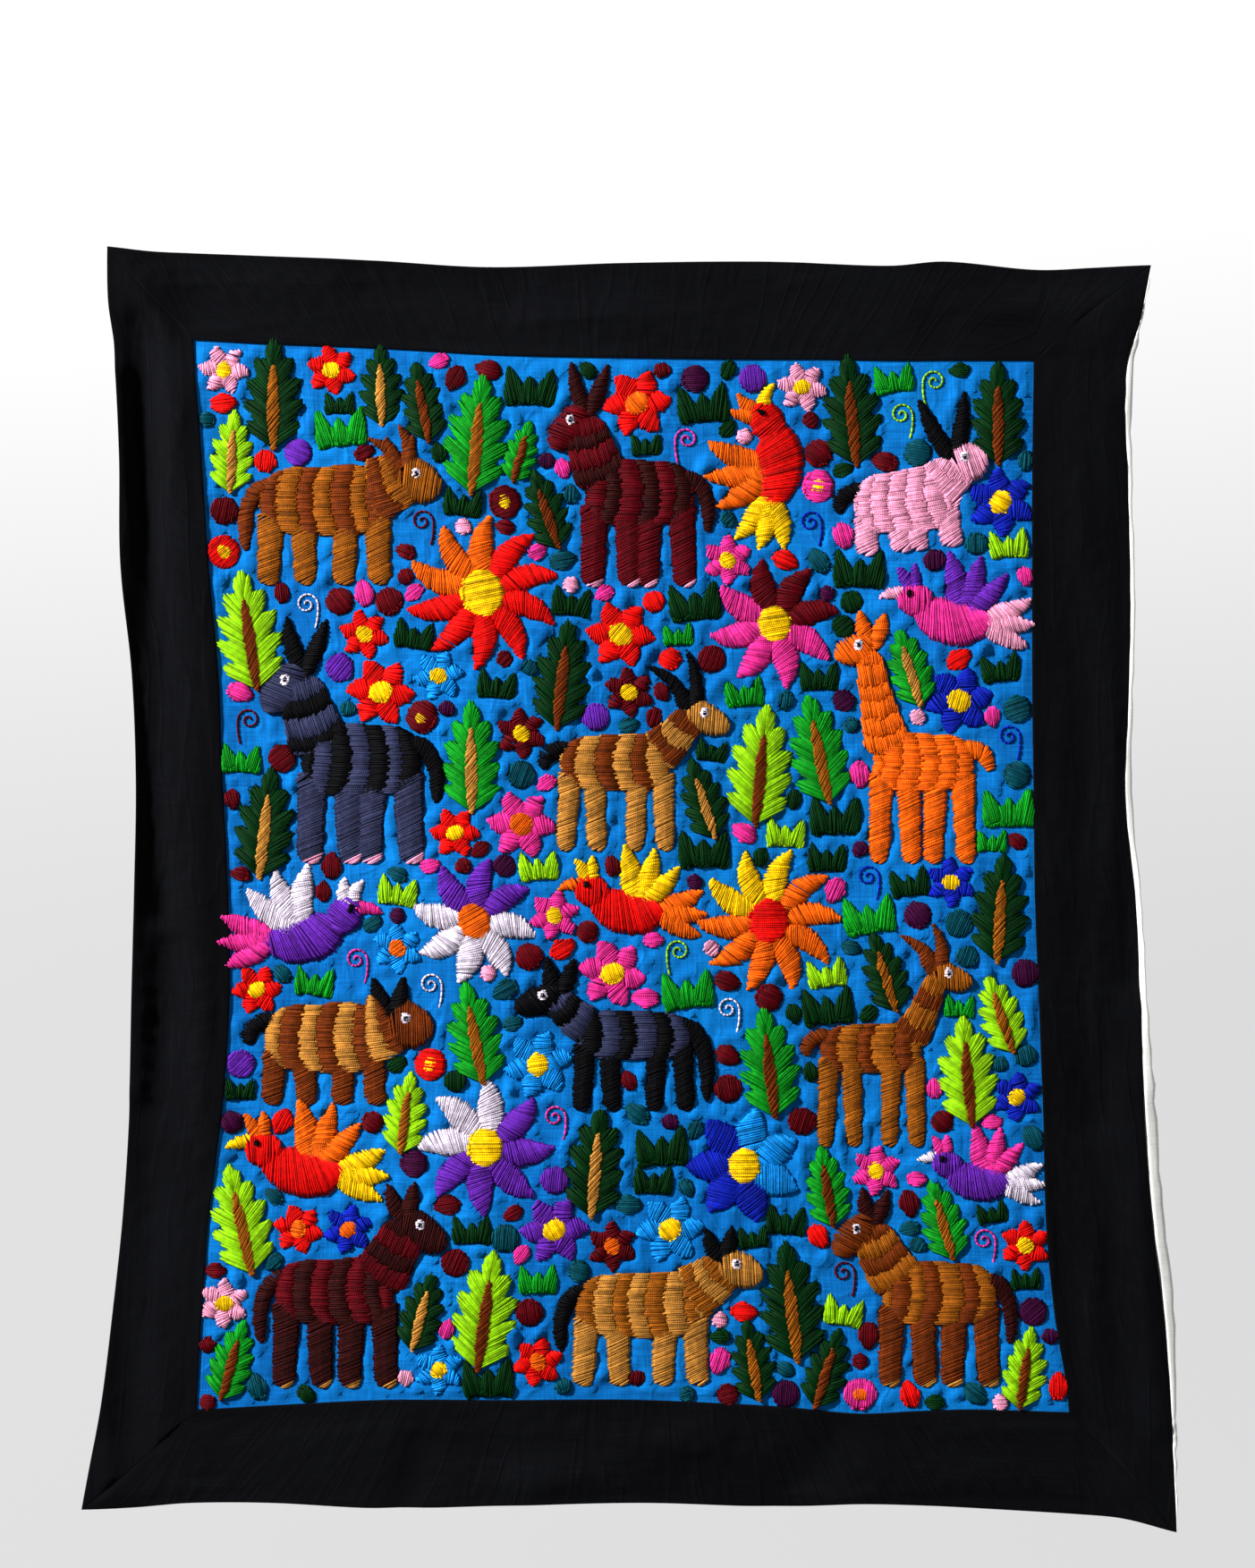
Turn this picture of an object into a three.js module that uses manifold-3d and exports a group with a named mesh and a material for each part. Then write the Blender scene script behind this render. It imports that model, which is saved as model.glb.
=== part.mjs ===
// An embroidered wall hanging, as it hangs by its top edge: a blue cotton panel with padded
// satin-stitch figures, four black cotton border strips joined by mitres at the corners, and
// a white cotton lining that rolls into sight past the right-hand border.
//
// Millimetres, +Z up. The front faces -Y. The origin is the middle of the top edge, which is
// what a wall or a rail holds. Every layer is built on one net of points, so that the layers
// lie parallel in every fold, a little apart. Each figure is cut out of such a layer by an
// upright prism of its outline.

import * as THREE from "three";
import { mergeVertices } from "three/addons/utils/BufferGeometryUtils.js";
import Module from "manifold-3d";

const wasm = await Module();
wasm.setup();

// How thick each layer of cloth and stitches is
const PANEL_THICK = 1.2;
const BORDER_THICK = 1.8;
const LINING_THICK = 1.2;
const STITCHES_THICK = 1.2;
// Layers and neighbours stay this far apart
const GAP = 0.3;
// A mitre slants, so its two sides part further up and down for the same gap across it
const MITRE_GAP = 1.5 * GAP;
// The border stands this much proud of the panel, because its edge is turned under
const BORDER_PROUD = 0.5;

// Cells of the net across one border strip, across the panel and down the panel
const BORDER_CELLS = 4;
const PANEL_CELLS_ACROSS = 12;
const PANEL_CELLS_DOWN = 16;

// Where the upright lines of the hanging run, left and right of the origin, for several
// shares of the way down: the outer edges, the seams of the panel, and how much of the
// lining shows past the right edge.
const UPRIGHTS = [
  { down: 0.0, leftEdge: -378, leftSeam: -318, rightSeam: 295, rightEdge: 378, liningShows: 0.6 },
  { down: 0.044, leftEdge: -378, leftSeam: -318, rightSeam: 295, rightEdge: 370, liningShows: 2 },
  { down: 0.08, leftEdge: -374, leftSeam: -317, rightSeam: 295, rightEdge: 361, liningShows: 6 },
  { down: 0.165, leftEdge: -370, leftSeam: -311, rightSeam: 294, rightEdge: 363, liningShows: 4 },
  { down: 0.25, leftEdge: -369, leftSeam: -306, rightSeam: 294, rightEdge: 365, liningShows: 4 },
  { down: 0.336, leftEdge: -361, leftSeam: -299, rightSeam: 294, rightEdge: 364, liningShows: 4 },
  { down: 0.421, leftEdge: -358, leftSeam: -296, rightSeam: 295, rightEdge: 361, liningShows: 6 },
  { down: 0.506, leftEdge: -359, leftSeam: -292, rightSeam: 296, rightEdge: 369, liningShows: 5 },
  { down: 0.592, leftEdge: -361, leftSeam: -291, rightSeam: 299, rightEdge: 372, liningShows: 6 },
  { down: 0.677, leftEdge: -363, leftSeam: -296, rightSeam: 302, rightEdge: 374, liningShows: 10 },
  { down: 0.762, leftEdge: -368, leftSeam: -306, rightSeam: 304, rightEdge: 380, liningShows: 10 },
  { down: 0.834, leftEdge: -375, leftSeam: -311, rightSeam: 310, rightEdge: 388, liningShows: 9 },
  { down: 0.905, leftEdge: -383, leftSeam: -315, rightSeam: 320, rightEdge: 393, liningShows: 5 },
  { down: 1.0, leftEdge: -397, leftSeam: -318, rightSeam: 324, rightEdge: 397, liningShows: 0.6 },
];

// Where the level lines run, above and below the origin, for several shares of the way across
const LEVELS = [
  { across: 0.0, topEdge: 11, topSeam: -54, bottomSeam: -834, bottomEdge: -905 },
  { across: 0.045, topEdge: 8, topSeam: -54, bottomSeam: -834, bottomEdge: -904 },
  { across: 0.091, topEdge: 7, topSeam: -55, bottomSeam: -834, bottomEdge: -901 },
  { across: 0.162, topEdge: 5, topSeam: -58, bottomSeam: -831, bottomEdge: -901 },
  { across: 0.262, topEdge: 2, topSeam: -61, bottomSeam: -827, bottomEdge: -905 },
  { across: 0.371, topEdge: -3, topSeam: -66, bottomSeam: -827, bottomEdge: -903 },
  { across: 0.497, topEdge: 0, topSeam: -68, bottomSeam: -827, bottomEdge: -901 },
  { across: 0.623, topEdge: 1, topSeam: -69, bottomSeam: -832, bottomEdge: -904 },
  { across: 0.69, topEdge: -1, topSeam: -69, bottomSeam: -837, bottomEdge: -902 },
  { across: 0.749, topEdge: -2, topSeam: -70, bottomSeam: -835, bottomEdge: -903 },
  { across: 0.799, topEdge: 1, topSeam: -70, bottomSeam: -834, bottomEdge: -905 },
  { across: 0.883, topEdge: -5, topSeam: -70, bottomSeam: -836, bottomEdge: -909 },
  { across: 0.941, topEdge: -4, topSeam: -70, bottomSeam: -837, bottomEdge: -912 },
  { across: 1.0, topEdge: -3, topSeam: -70, bottomSeam: -837, bottomEdge: -921 },
];

// Shares of the way across and down at which the seams lie
const SEAM_SHARES_ACROSS = [0, 0.091, 0.883, 1];
const SEAM_SHARES_DOWN = [0, 0.0725, 0.915, 1];

// Soft ridges (rise above 0, towards the viewer) and troughs (rise below 0) of the hung
// cloth. Each runs from one place to another and fades out to its sides within its width.
const FOLDS = [
  { what: "left border, trough", fromX: -356, fromZ: -45, toX: -338, toZ: -470, wide: 13, rise: -7 },
  { what: "left border, lower trough", fromX: -336, fromZ: -500, toX: -366, toZ: -850, wide: 15, rise: -6 },
  { what: "left edge, ridge", fromX: -374, fromZ: -80, toX: -358, toZ: -600, wide: 12, rise: 5 },
  { what: "left seam, ridge", fromX: -322, fromZ: -90, toX: -304, toZ: -640, wide: 16, rise: 5 },
  { what: "top left corner, lifted", fromX: -372, fromZ: 6, toX: -352, toZ: -20, wide: 26, rise: 8 },
  { what: "top right corner, lifted", fromX: 376, fromZ: -4, toX: 352, toZ: -40, wide: 30, rise: 10 },
  { what: "right edge, turned back", fromX: 366, fromZ: -110, toX: 368, toZ: -520, wide: 13, rise: -7 },
  { what: "right border, trough", fromX: 330, fromZ: -230, toX: 342, toZ: -620, wide: 15, rise: -4 },
  { what: "right border, lower ridge", fromX: 362, fromZ: -600, toX: 384, toZ: -840, wide: 17, rise: 5 },
  { what: "bottom right corner, lifted", fromX: 392, fromZ: -912, toX: 372, toZ: -885, wide: 28, rise: 8 },
  { what: "bottom left corner, lifted", fromX: -392, fromZ: -900, toX: -380, toZ: -880, wide: 26, rise: 5 },
  { what: "bottom hem, left crease", fromX: -165, fromZ: -905, toX: -150, toZ: -862, wide: 16, rise: -4 },
  { what: "bottom hem, middle ridge", fromX: -70, fromZ: -885, toX: 60, toZ: -850, wide: 18, rise: 4 },
  { what: "bottom hem, right trough", fromX: 110, fromZ: -905, toX: 150, toZ: -860, wide: 20, rise: -4 },
  { what: "top hem, left trough", fromX: -190, fromZ: -12, toX: -90, toZ: -30, wide: 18, rise: -4 },
  { what: "top hem, right ridge", fromX: 130, fromZ: -8, toX: 200, toZ: -40, wide: 20, rise: 4 },
  { what: "panel, left swell", fromX: -130, fromZ: -150, toX: -90, toZ: -720, wide: 85, rise: 6 },
  { what: "panel, right hollow", fromX: 130, fromZ: -130, toX: 170, toZ: -700, wide: 75, rise: -5 },
];

// Colours of the cloths
const CLOTH = {
  ground: new THREE.MeshStandardMaterial({ color: 0x0f74c4, roughness: 0.85, metalness: 0 }),
  border: new THREE.MeshStandardMaterial({ color: 0x0b0d12, roughness: 0.9, metalness: 0 }),
  lining: new THREE.MeshStandardMaterial({ color: 0xf2f1ec, roughness: 0.9, metalness: 0 }),
};

// A smooth curve through one column of a table, read at one value of its first column
function curve(table, key, column, at) {
  const last = table.length - 1;
  let i = 0;
  while (i < last - 1 && at > table[i + 1][key]) i += 1;
  const slope = (k) => {
    const a = table[Math.max(k - 1, 0)];
    const b = table[Math.min(k + 1, last)];
    return (b[column] - a[column]) / (b[key] - a[key]);
  };
  const a = table[i];
  const b = table[i + 1];
  const step = b[key] - a[key];
  const w = (at - a[key]) / step;
  const rise = w * w * (3 - 2 * w);
  const start = w * (1 - w) * (1 - w) * step * slope(i);
  const end = w * w * (w - 1) * step * slope(i + 1);
  return a[column] + (b[column] - a[column]) * rise + start + end;
}

// Straight lines through four values, one for each seam or edge, read between them
function between(values, at) {
  const i = Math.min(Math.floor(at), 2);
  return THREE.MathUtils.lerp(values[i], values[i + 1], at - i);
}

// How far the hung cloth stands towards the viewer at a place: the sum of its folds
function forward(x, z) {
  let sum = 0;
  for (const fold of FOLDS) {
    const alongX = fold.toX - fold.fromX;
    const alongZ = fold.toZ - fold.fromZ;
    const share = ((x - fold.fromX) * alongX + (z - fold.fromZ) * alongZ) / (alongX ** 2 + alongZ ** 2);
    const near = THREE.MathUtils.clamp(share, 0, 1);
    const away = Math.hypot(x - fold.fromX - near * alongX, z - fold.fromZ - near * alongZ);
    sum += fold.rise * Math.exp(-((away / fold.wide) ** 2));
  }
  return sum;
}

// The hung place of a point of the cloth. Across and down count seams: 0 and 3 are the outer
// edges, and 1 and 2 the seams of the panel. Across 4 is the edge of the lining that shows.
function hung(across, down) {
  const shareAcross = between(SEAM_SHARES_ACROSS, Math.min(across, 3));
  const shareDown = between(SEAM_SHARES_DOWN, down);
  const upright = (column) => curve(UPRIGHTS, "down", column, shareDown);
  const level = (column) => curve(LEVELS, "across", column, shareAcross);
  const uprights = ["leftEdge", "leftSeam", "rightSeam", "rightEdge"].map(upright);
  const levels = ["topEdge", "topSeam", "bottomSeam", "bottomEdge"].map(level);
  const x = between(uprights, Math.min(across, 3)) + Math.max(across - 3, 0) * upright("liningShows");
  const z = between(levels, down);
  return new THREE.Vector3(x, -forward(x, z), z);
}

// The net's lines, in the same count of seams
function lines(borderCells, panelCells) {
  const at = [];
  for (let i = 0; i <= borderCells; i += 1) at.push(i / borderCells);
  for (let i = 1; i <= panelCells; i += 1) at.push(1 + i / panelCells);
  for (let i = 1; i <= borderCells; i += 1) at.push(2 + i / borderCells);
  return at;
}
const ACROSS = [...lines(BORDER_CELLS, PANEL_CELLS_ACROSS), 4];
const DOWN = lines(BORDER_CELLS, PANEL_CELLS_DOWN);

// Two triangles for a cell of the net. In two of the four corners of the hanging the cells
// are split the other way, so that every mitre runs along the cells' own diagonals.
function cellTriangles(i, j) {
  const other = (ACROSS[i] >= 2 && DOWN[j] < 1) || (ACROSS[i] < 1 && DOWN[j] >= 2);
  const corners = [[i, j], [i + 1, j], [i + 1, j + 1], [i, j + 1]];
  const pick = other ? [[0, 1, 3], [1, 2, 3]] : [[0, 1, 2], [0, 2, 3]];
  return pick.map((triangle) => triangle.map((k) => corners[k]));
}

// One closed sheet on the net. "covers" says which triangles belong to it, by their middle.
// "nudge" moves a point that lies on a seam, to leave the gap there. Front and back are
// depths behind the panel's own face.
function sheet(covers, nudge, front, back) {
  const places = new Map();
  const positions = [];
  const faces = [];
  const edges = new Map();
  const point = ([i, j]) => {
    const name = `${i},${j}`;
    if (!places.has(name)) {
      const at = hung(ACROSS[i], DOWN[j]);
      const move = nudge(ACROSS[i], DOWN[j]);
      places.set(name, positions.length / 3);
      positions.push(at.x + move.x, at.y + front, at.z + move.z);
      positions.push(at.x + move.x, at.y + back, at.z + move.z);
    }
    return places.get(name);
  };
  for (let i = 0; i < ACROSS.length - 1; i += 1) {
    for (let j = 0; j < DOWN.length - 1; j += 1) {
      for (const triangle of cellTriangles(i, j)) {
        const middle = (axis, values) => triangle.reduce((sum, corner) => sum + values[corner[axis]] / 3, 0);
        if (!covers(middle(0, ACROSS), middle(1, DOWN))) continue;
        const [a, b, c] = triangle.map(point);
        faces.push(a, c, b, a + 1, b + 1, c + 1);
        for (const [from, to] of [[a, b], [b, c], [c, a]]) {
          if (edges.has(`${to},${from}`)) edges.delete(`${to},${from}`);
          else edges.set(`${from},${to}`, [from, to]);
        }
      }
    }
  }
  for (const [from, to] of edges.values()) faces.push(from, to, to + 1, from, to + 1, from + 1);
  const geometry = new THREE.BufferGeometry();
  geometry.setAttribute("position", new THREE.Float32BufferAttribute(positions, 3));
  geometry.setIndex(faces);
  geometry.computeVertexNormals();
  return geometry;
}

// Outward moves, as -1, 0 or 1, of a point on the panel's seams
const sideways = (across) => (across === 1 ? -1 : across === 2 ? 1 : 0);
const upwards = (down) => (down === 1 ? 1 : down === 2 ? -1 : 0);

// A point of a border strip lies on a mitre where it is as far in from the side as from the
// top or bottom edge
const isMitre = (across, down) =>
  Math.abs(Math.min(across, 3 - across) - Math.min(down, 3 - down)) < 1e-6;

// A sheet over the blue ground, drawn in a little from its four seams
function panelSheet(front, back) {
  const covers = (across, down) => across > 1 && across < 2 && down > 1 && down < 2;
  const nudge = (across, down) => ({
    x: (-GAP / 2) * sideways(across),
    z: (-GAP / 2) * upwards(down),
  });
  return sheet(covers, nudge, front, back);
}

// One of the four border strips, from its seam to its outer edge and from mitre to mitre.
// A mitre's two sides part up and down, which leaves the gap across it.
function borderSheet(side) {
  const upright = side === "left" || side === "right";
  const covers = (across, down) => {
    const inFrom = { left: across, right: 3 - across, top: down, bottom: 3 - down };
    const least = Math.min(...Object.values(inFrom));
    return across < 3 && least < 1 && inFrom[side] === least;
  };
  const nudge = (across, down) => {
    const x = upright ? (GAP / 2) * sideways(across) : 0;
    if (!isMitre(across, down)) return { x, z: upright ? 0 : (GAP / 2) * upwards(down) };
    const outwards = down < 1.5 ? 1 : -1;
    return { x, z: (MITRE_GAP / 2) * outwards * (upright ? -1 : 1) };
  };
  return sheet(covers, nudge, -BORDER_PROUD, BORDER_THICK - BORDER_PROUD);
}

// The white lining, behind everything, with the edge that rolls into sight on the right
function liningSheet() {
  const front = Math.max(PANEL_THICK, BORDER_THICK - BORDER_PROUD) + GAP;
  return sheet(() => true, () => ({ x: 0, z: 0 }), front, front + LINING_THICK);
}

// Floss colours
const YARN = {
  black: 0x16171c,
  slate: 0x3b3f55,
  darkBrown: 0x3a1414,
  brown: 0x7a4312,
  ochre: 0x9a651f,
  tan: 0xb98543,
  orange: 0xe8701a,
  pink: 0xf0a9b8,
  rose: 0xe8418f,
  maroon: 0x6a0d1e,
  red: 0xe0201a,
  violet: 0x6a2fb0,
  white: 0xf0ecf2,
  royal: 0x1a34b0,
  lime: 0x8fcf1f,
  green: 0x1f9a2c,
  darkGreen: 0x0f4a2c,
};

// Animals in profile. Lengths and half widths of the trunk, legs, neck and head, and lengths
// of the ears, horns and tail. Lean is the neck's slope and nod the head's, from level.
const ANIMALS = {
  horse: { long: 86, deep: 26, leg: 44, legHalf: 9.5, neck: 32,
    neckHalf: 16, lean: 62, head: 38, headHalf: 12, nod: -38, ear: 14, horn: 0, tail: 52 },
  donkey: { long: 82, deep: 27, leg: 44, legHalf: 10, neck: 34,
    neckHalf: 16, lean: 72, head: 38, headHalf: 12.5, nod: -44, ear: 26, horn: 0, tail: 44 },
  deer: { long: 76, deep: 20, leg: 54, legHalf: 7, neck: 42,
    neckHalf: 9.5, lean: 66, head: 30, headHalf: 9, nod: -20, ear: 12, horn: 26, tail: 16 },
  llama: { long: 72, deep: 23, leg: 50, legHalf: 8, neck: 62,
    neckHalf: 11, lean: 78, head: 28, headHalf: 10, nod: -12, ear: 15, horn: 0, tail: 18 },
  goat: { long: 80, deep: 22, leg: 42, legHalf: 7.5, neck: 26,
    neckHalf: 12, lean: 48, head: 32, headHalf: 10, nod: -28, ear: 12, horn: 32, tail: 16 },
  bull: { long: 94, deep: 28, leg: 34, legHalf: 9.5, neck: 12,
    neckHalf: 20, lean: 24, head: 34, headHalf: 14.5, nod: -34, ear: 11, horn: 18, tail: 52 },
  cow: { long: 90, deep: 25, leg: 32, legHalf: 8.5, neck: 18,
    neckHalf: 16, lean: 38, head: 32, headHalf: 12, nod: -22, ear: 13, horn: 0, tail: 46 },
  fox: { long: 78, deep: 18, leg: 34, legHalf: 7, neck: 20,
    neckHalf: 11, lean: 42, head: 32, headHalf: 9.5, nod: -16, ear: 16, horn: 0, tail: 56 },
  pig: { long: 80, deep: 26, leg: 20, legHalf: 8, neck: 6,
    neckHalf: 20, lean: 14, head: 32, headHalf: 15, nod: -24, ear: 13, horn: 0, tail: 18 },
  rabbit: { long: 70, deep: 24, leg: 12, legHalf: 8.5, neck: 8,
    neckHalf: 15, lean: 44, head: 26, headHalf: 13, nod: -12, ear: 34, horn: 0, tail: 16 },
};

// Flowers: how many petals, how far they reach, their half width, how far they hook to one
// side, and the radius of the heart
const FLOWERS = {
  sun: { petals: 10, reach: 56, petalHalf: 8.5, hook: 5, heart: 17 },
  star: { petals: 8, reach: 50, petalHalf: 9.5, hook: -4, heart: 14 },
  daisy: { petals: 7, reach: 42, petalHalf: 12, hook: 0, heart: 13 },
};

// Where each figure lies on the panel: the middle of its trunk, heart or vein, the way it
// faces (1 right, -1 left), its turn in degrees, its size against the tables above, and the
// colour of its floss.
const PLACES = [
  { figure: "bull", x: -222, z: -172, faces: 1, turn: 0, grow: 1.0, yarn: "ochre" },
  { figure: "donkey", x: 8, z: -166, faces: -1, turn: 0, grow: 0.98, yarn: "maroon" },
  { figure: "rabbit", x: 200, z: -172, faces: 1, turn: 6, grow: 1.05, yarn: "pink" },
  { figure: "donkey", x: -194, z: -360, faces: -1, turn: 0, grow: 1.08, yarn: "slate" },
  { figure: "goat", x: -10, z: -362, faces: 1, turn: 0, grow: 1.02, yarn: "tan" },
  { figure: "llama", x: 214, z: -362, faces: -1, turn: 0, grow: 1.02, yarn: "orange" },
  { figure: "pig", x: -222, z: -562, faces: 1, turn: 0, grow: 1.08, yarn: "brown" },
  { figure: "fox", x: 4, z: -560, faces: -1, turn: 0, grow: 1.08, yarn: "black" },
  { figure: "deer", x: 176, z: -570, faces: 1, turn: 0, grow: 0.98, yarn: "ochre" },
  { figure: "horse", x: -214, z: -746, faces: 1, turn: 0, grow: 1.02, yarn: "darkBrown" },
  { figure: "cow", x: 8, z: -756, faces: 1, turn: 0, grow: 1.05, yarn: "tan" },
  { figure: "horse", x: 226, z: -748, faces: -1, turn: 0, grow: 0.98, yarn: "brown" },
  { figure: "sun", x: -106, z: -240, faces: 1, turn: 12, grow: 1, yarn: "red" },
  { figure: "sun", x: 102, z: -478, faces: 1, turn: 0, grow: 0.95, yarn: "orange" },
  { figure: "star", x: 106, z: -262, faces: -1, turn: 10, grow: 0.95, yarn: "rose" },
  { figure: "star", x: -104, z: -642, faces: 1, turn: 0, grow: 1, yarn: "violet" },
  { figure: "daisy", x: 84, z: -656, faces: -1, turn: 0, grow: 1, yarn: "royal" },
  { figure: "star", x: -112, z: -478, faces: -1, turn: 30, grow: 0.92, yarn: "white" },
  { figure: "bird", x: 104, z: -146, faces: 1, turn: 75, grow: 0.95, yarn: "red" },
  { figure: "bird", x: -236, z: -486, faces: 1, turn: 0, grow: 0.95, yarn: "violet" },
  { figure: "bird", x: 236, z: -256, faces: -1, turn: 0, grow: 0.9, yarn: "rose" },
  { figure: "bird", x: 0, z: -467, faces: -1, turn: 0, grow: 0.86, yarn: "red" },
  { figure: "bird", x: -236, z: -656, faces: -1, turn: 0, grow: 0.95, yarn: "red" },
  { figure: "bird", x: 254, z: -664, faces: -1, turn: 0, grow: 0.74, yarn: "violet" },
  { figure: "leaf", x: -276, z: -268, faces: 1, turn: 8, grow: 1, yarn: "lime" },
  { figure: "leaf", x: -110, z: -126, faces: 1, turn: -6, grow: 1, yarn: "green" },
  { figure: "leaf", x: 270, z: -470, faces: 1, turn: -4, grow: 0.9, yarn: "darkGreen" },
  { figure: "leaf", x: 268, z: -110, faces: 1, turn: 0, grow: 0.85, yarn: "darkGreen" },
  { figure: "leaf", x: 96, z: -366, faces: 1, turn: -6, grow: 1, yarn: "lime" },
  { figure: "leaf", x: -112, z: -560, faces: 1, turn: 10, grow: 0.85, yarn: "green" },
  { figure: "leaf", x: 118, z: -756, faces: 1, turn: 6, grow: 1, yarn: "darkGreen" },
  { figure: "leaf", x: -104, z: -762, faces: 1, turn: -8, grow: 1, yarn: "lime" },
];

// One place along a limb, with the half width there
const spot = (x, z, half) => ({ x, z, half });

// A limb is a soft ribbon through three spots. Its ends close in a point or a round: the
// higher the number "blunt", the later and rounder they close.
const limb = (from, middle, to, blunt = 6) => ({ spots: [from, middle, to], blunt });

// A straight or hooked limb that leaves a spot at an angle, as a petal, ear or feather does
function petal(x, z, angle, length, half, hook, blunt = 3) {
  const turn = THREE.MathUtils.degToRad(angle);
  const [c, s] = [Math.cos(turn), Math.sin(turn)];
  const middle = spot(x + 0.5 * length * c - hook * s, z + 0.5 * length * s + hook * c, half);
  return limb(spot(x, z, half * 0.8), middle, spot(x + length * c, z + length * s, half * 0.3), blunt);
}

function animalLimbs(a) {
  const end = a.long / 2;
  const ground = -(a.deep + a.leg);
  const lean = THREE.MathUtils.degToRad(a.lean);
  const nod = THREE.MathUtils.degToRad(a.nod);
  const rise = a.deep * 0.7 + a.neck;
  const [rootX, rootZ] = [end - a.deep * 0.55, a.deep * 0.2];
  const [topX, topZ] = [rootX + rise * Math.cos(lean), rootZ + rise * Math.sin(lean)];
  const headX = topX - 0.4 * a.headHalf * Math.cos(nod);
  const headZ = topZ - 0.4 * a.headHalf * Math.sin(nod);
  const limbs = [
    limb(spot(-end, 0, a.deep * 0.9), spot(0, -1, a.deep * 0.88), spot(end, 1, a.deep), 4),
    limb(
      spot(rootX, rootZ, a.deep * 0.85),
      spot((rootX + topX) / 2 + 1, (rootZ + topZ) / 2 - 2, a.neckHalf * 1.1),
      spot(topX, topZ, a.neckHalf * 0.95),
      6,
    ),
    limb(
      spot(headX, headZ, a.headHalf * 0.9),
      spot(headX + 0.5 * a.head * Math.cos(nod), headZ + 0.5 * a.head * Math.sin(nod), a.headHalf),
      spot(headX + a.head * Math.cos(nod), headZ + a.head * Math.sin(nod), a.headHalf * 0.6),
      5,
    ),
    limb(
      spot(10 - end, a.deep * 0.45, 5),
      spot(-end - 7, a.deep * 0.45 - a.tail * 0.3, 5.5),
      spot(-end - 9, a.deep * 0.45 - a.tail * 0.95, 4),
    ),
  ];
  const legs = [
    { at: a.legHalf - end, step: -3 },
    { at: 3.4 * a.legHalf - end, step: 2 },
    { at: end - 3.2 * a.legHalf, step: -2 },
    { at: end - 0.8 * a.legHalf, step: 2 },
  ];
  for (const leg of legs) {
    limbs.push(
      limb(
        spot(leg.at, -0.3 * a.deep, a.legHalf * 1.2),
        spot(leg.at + leg.step * 0.3, 0.45 * ground, a.legHalf * 0.95),
        spot(leg.at + leg.step, ground, a.legHalf * 0.9),
        12,
      ),
    );
  }
  const crown = [topX - a.headHalf * 0.2, topZ - a.headHalf * 0.2];
  const reach = 1.4 * a.headHalf;
  limbs.push(petal(...crown, 112, a.ear + reach, 5.5, 1), petal(...crown, 76, a.ear + reach, 5.5, -1));
  if (a.horn === 0) return limbs;
  for (const angle of [132, 94]) limbs.push(petal(...crown, angle, a.horn + reach, 4, -6));
  return limbs;
}

function birdLimbs() {
  const limbs = [
    limb(spot(-32, -4, 9), spot(0, -6, 18), spot(30, 8, 12), 4),
    limb(spot(20, 6, 11), spot(32, 13, 13), spot(44, 18, 9), 4),
    limb(spot(40, 18, 6), spot(50, 18, 4), spot(60, 14, 1), 6),
  ];
  for (const angle of [84, 112, 140]) limbs.push(petal(-2, -2, angle, 54, 9, 3));
  for (const angle of [158, 184, 210]) limbs.push(petal(-22, -4, angle, 44, 8, 2));
  for (const angle of [64, 96]) limbs.push(petal(34, 16, angle, 26, 5, 2));
  return limbs;
}

function flowerLimbs({ petals, reach, petalHalf, hook, heart }) {
  const limbs = [limb(spot(-heart, 0, heart), spot(0, 0, heart), spot(heart, 0, heart), 2)];
  for (let i = 0; i < petals; i += 1) {
    const angle = (i * 360) / petals;
    const turn = THREE.MathUtils.degToRad(angle);
    const start = [0.6 * heart * Math.cos(turn), 0.6 * heart * Math.sin(turn)];
    limbs.push(petal(...start, angle, reach - 0.6 * heart, petalHalf, hook));
  }
  return limbs;
}

// A leaf is a vein with pairs of pointed lobes that shorten towards the tip
const LEAF = { long: 88, pairs: 5, lobe: 30, lobeHalf: 6.5, spread: 52 };
function leafLimbs() {
  const { long, pairs, lobe, lobeHalf, spread } = LEAF;
  const limbs = [limb(spot(0, -long / 2, 3), spot(0, -4, 5), spot(0, long / 2 - 4, 3), 4)];
  for (let i = 0; i < pairs; i += 1) {
    const z = long * ((0.72 * i) / (pairs - 1) - 0.42);
    const reach = lobe * Math.sin(Math.PI * (0.36 + (0.44 * i) / (pairs - 1)));
    for (const side of [-1, 1]) limbs.push(petal(-side, z, 90 - side * spread, reach, lobeHalf, side * 2));
  }
  return limbs;
}

function limbsOf(figure) {
  if (figure in ANIMALS) return animalLimbs(ANIMALS[figure]);
  if (figure in FLOWERS) return flowerLimbs(FLOWERS[figure]);
  return figure === "bird" ? birdLimbs() : leafLimbs();
}

// The outline of a limb, as a closed ring of points. The middle line is the curve of the
// second degree through the three spots, and the steps are closer near the ends.
function outline({ spots, blunt }, steps) {
  const left = [];
  const right = [];
  for (let i = 0; i <= steps; i += 1) {
    const t = (1 - Math.cos((Math.PI * i) / steps)) / 2;
    const weights = [(1 - t) * (1 - 2 * t), 4 * t * (1 - t), t * (2 * t - 1)];
    const slopes = [4 * t - 3, 4 - 8 * t, 4 * t - 1];
    const mix = (by, column) => spots.reduce((sum, one, k) => sum + by[k] * one[column], 0);
    const along = new THREE.Vector2(mix(slopes, "x"), mix(slopes, "z")).normalize();
    const half = mix(weights, "half") * Math.sqrt(1 - Math.abs(2 * t - 1) ** blunt);
    const [x, z] = [mix(weights, "x"), mix(weights, "z")];
    left.push(new THREE.Vector2(x - half * along.y, z + half * along.x));
    right.unshift(new THREE.Vector2(x + half * along.y, z - half * along.x));
  }
  return [...left, ...right.slice(1, -1)];
}

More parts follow.
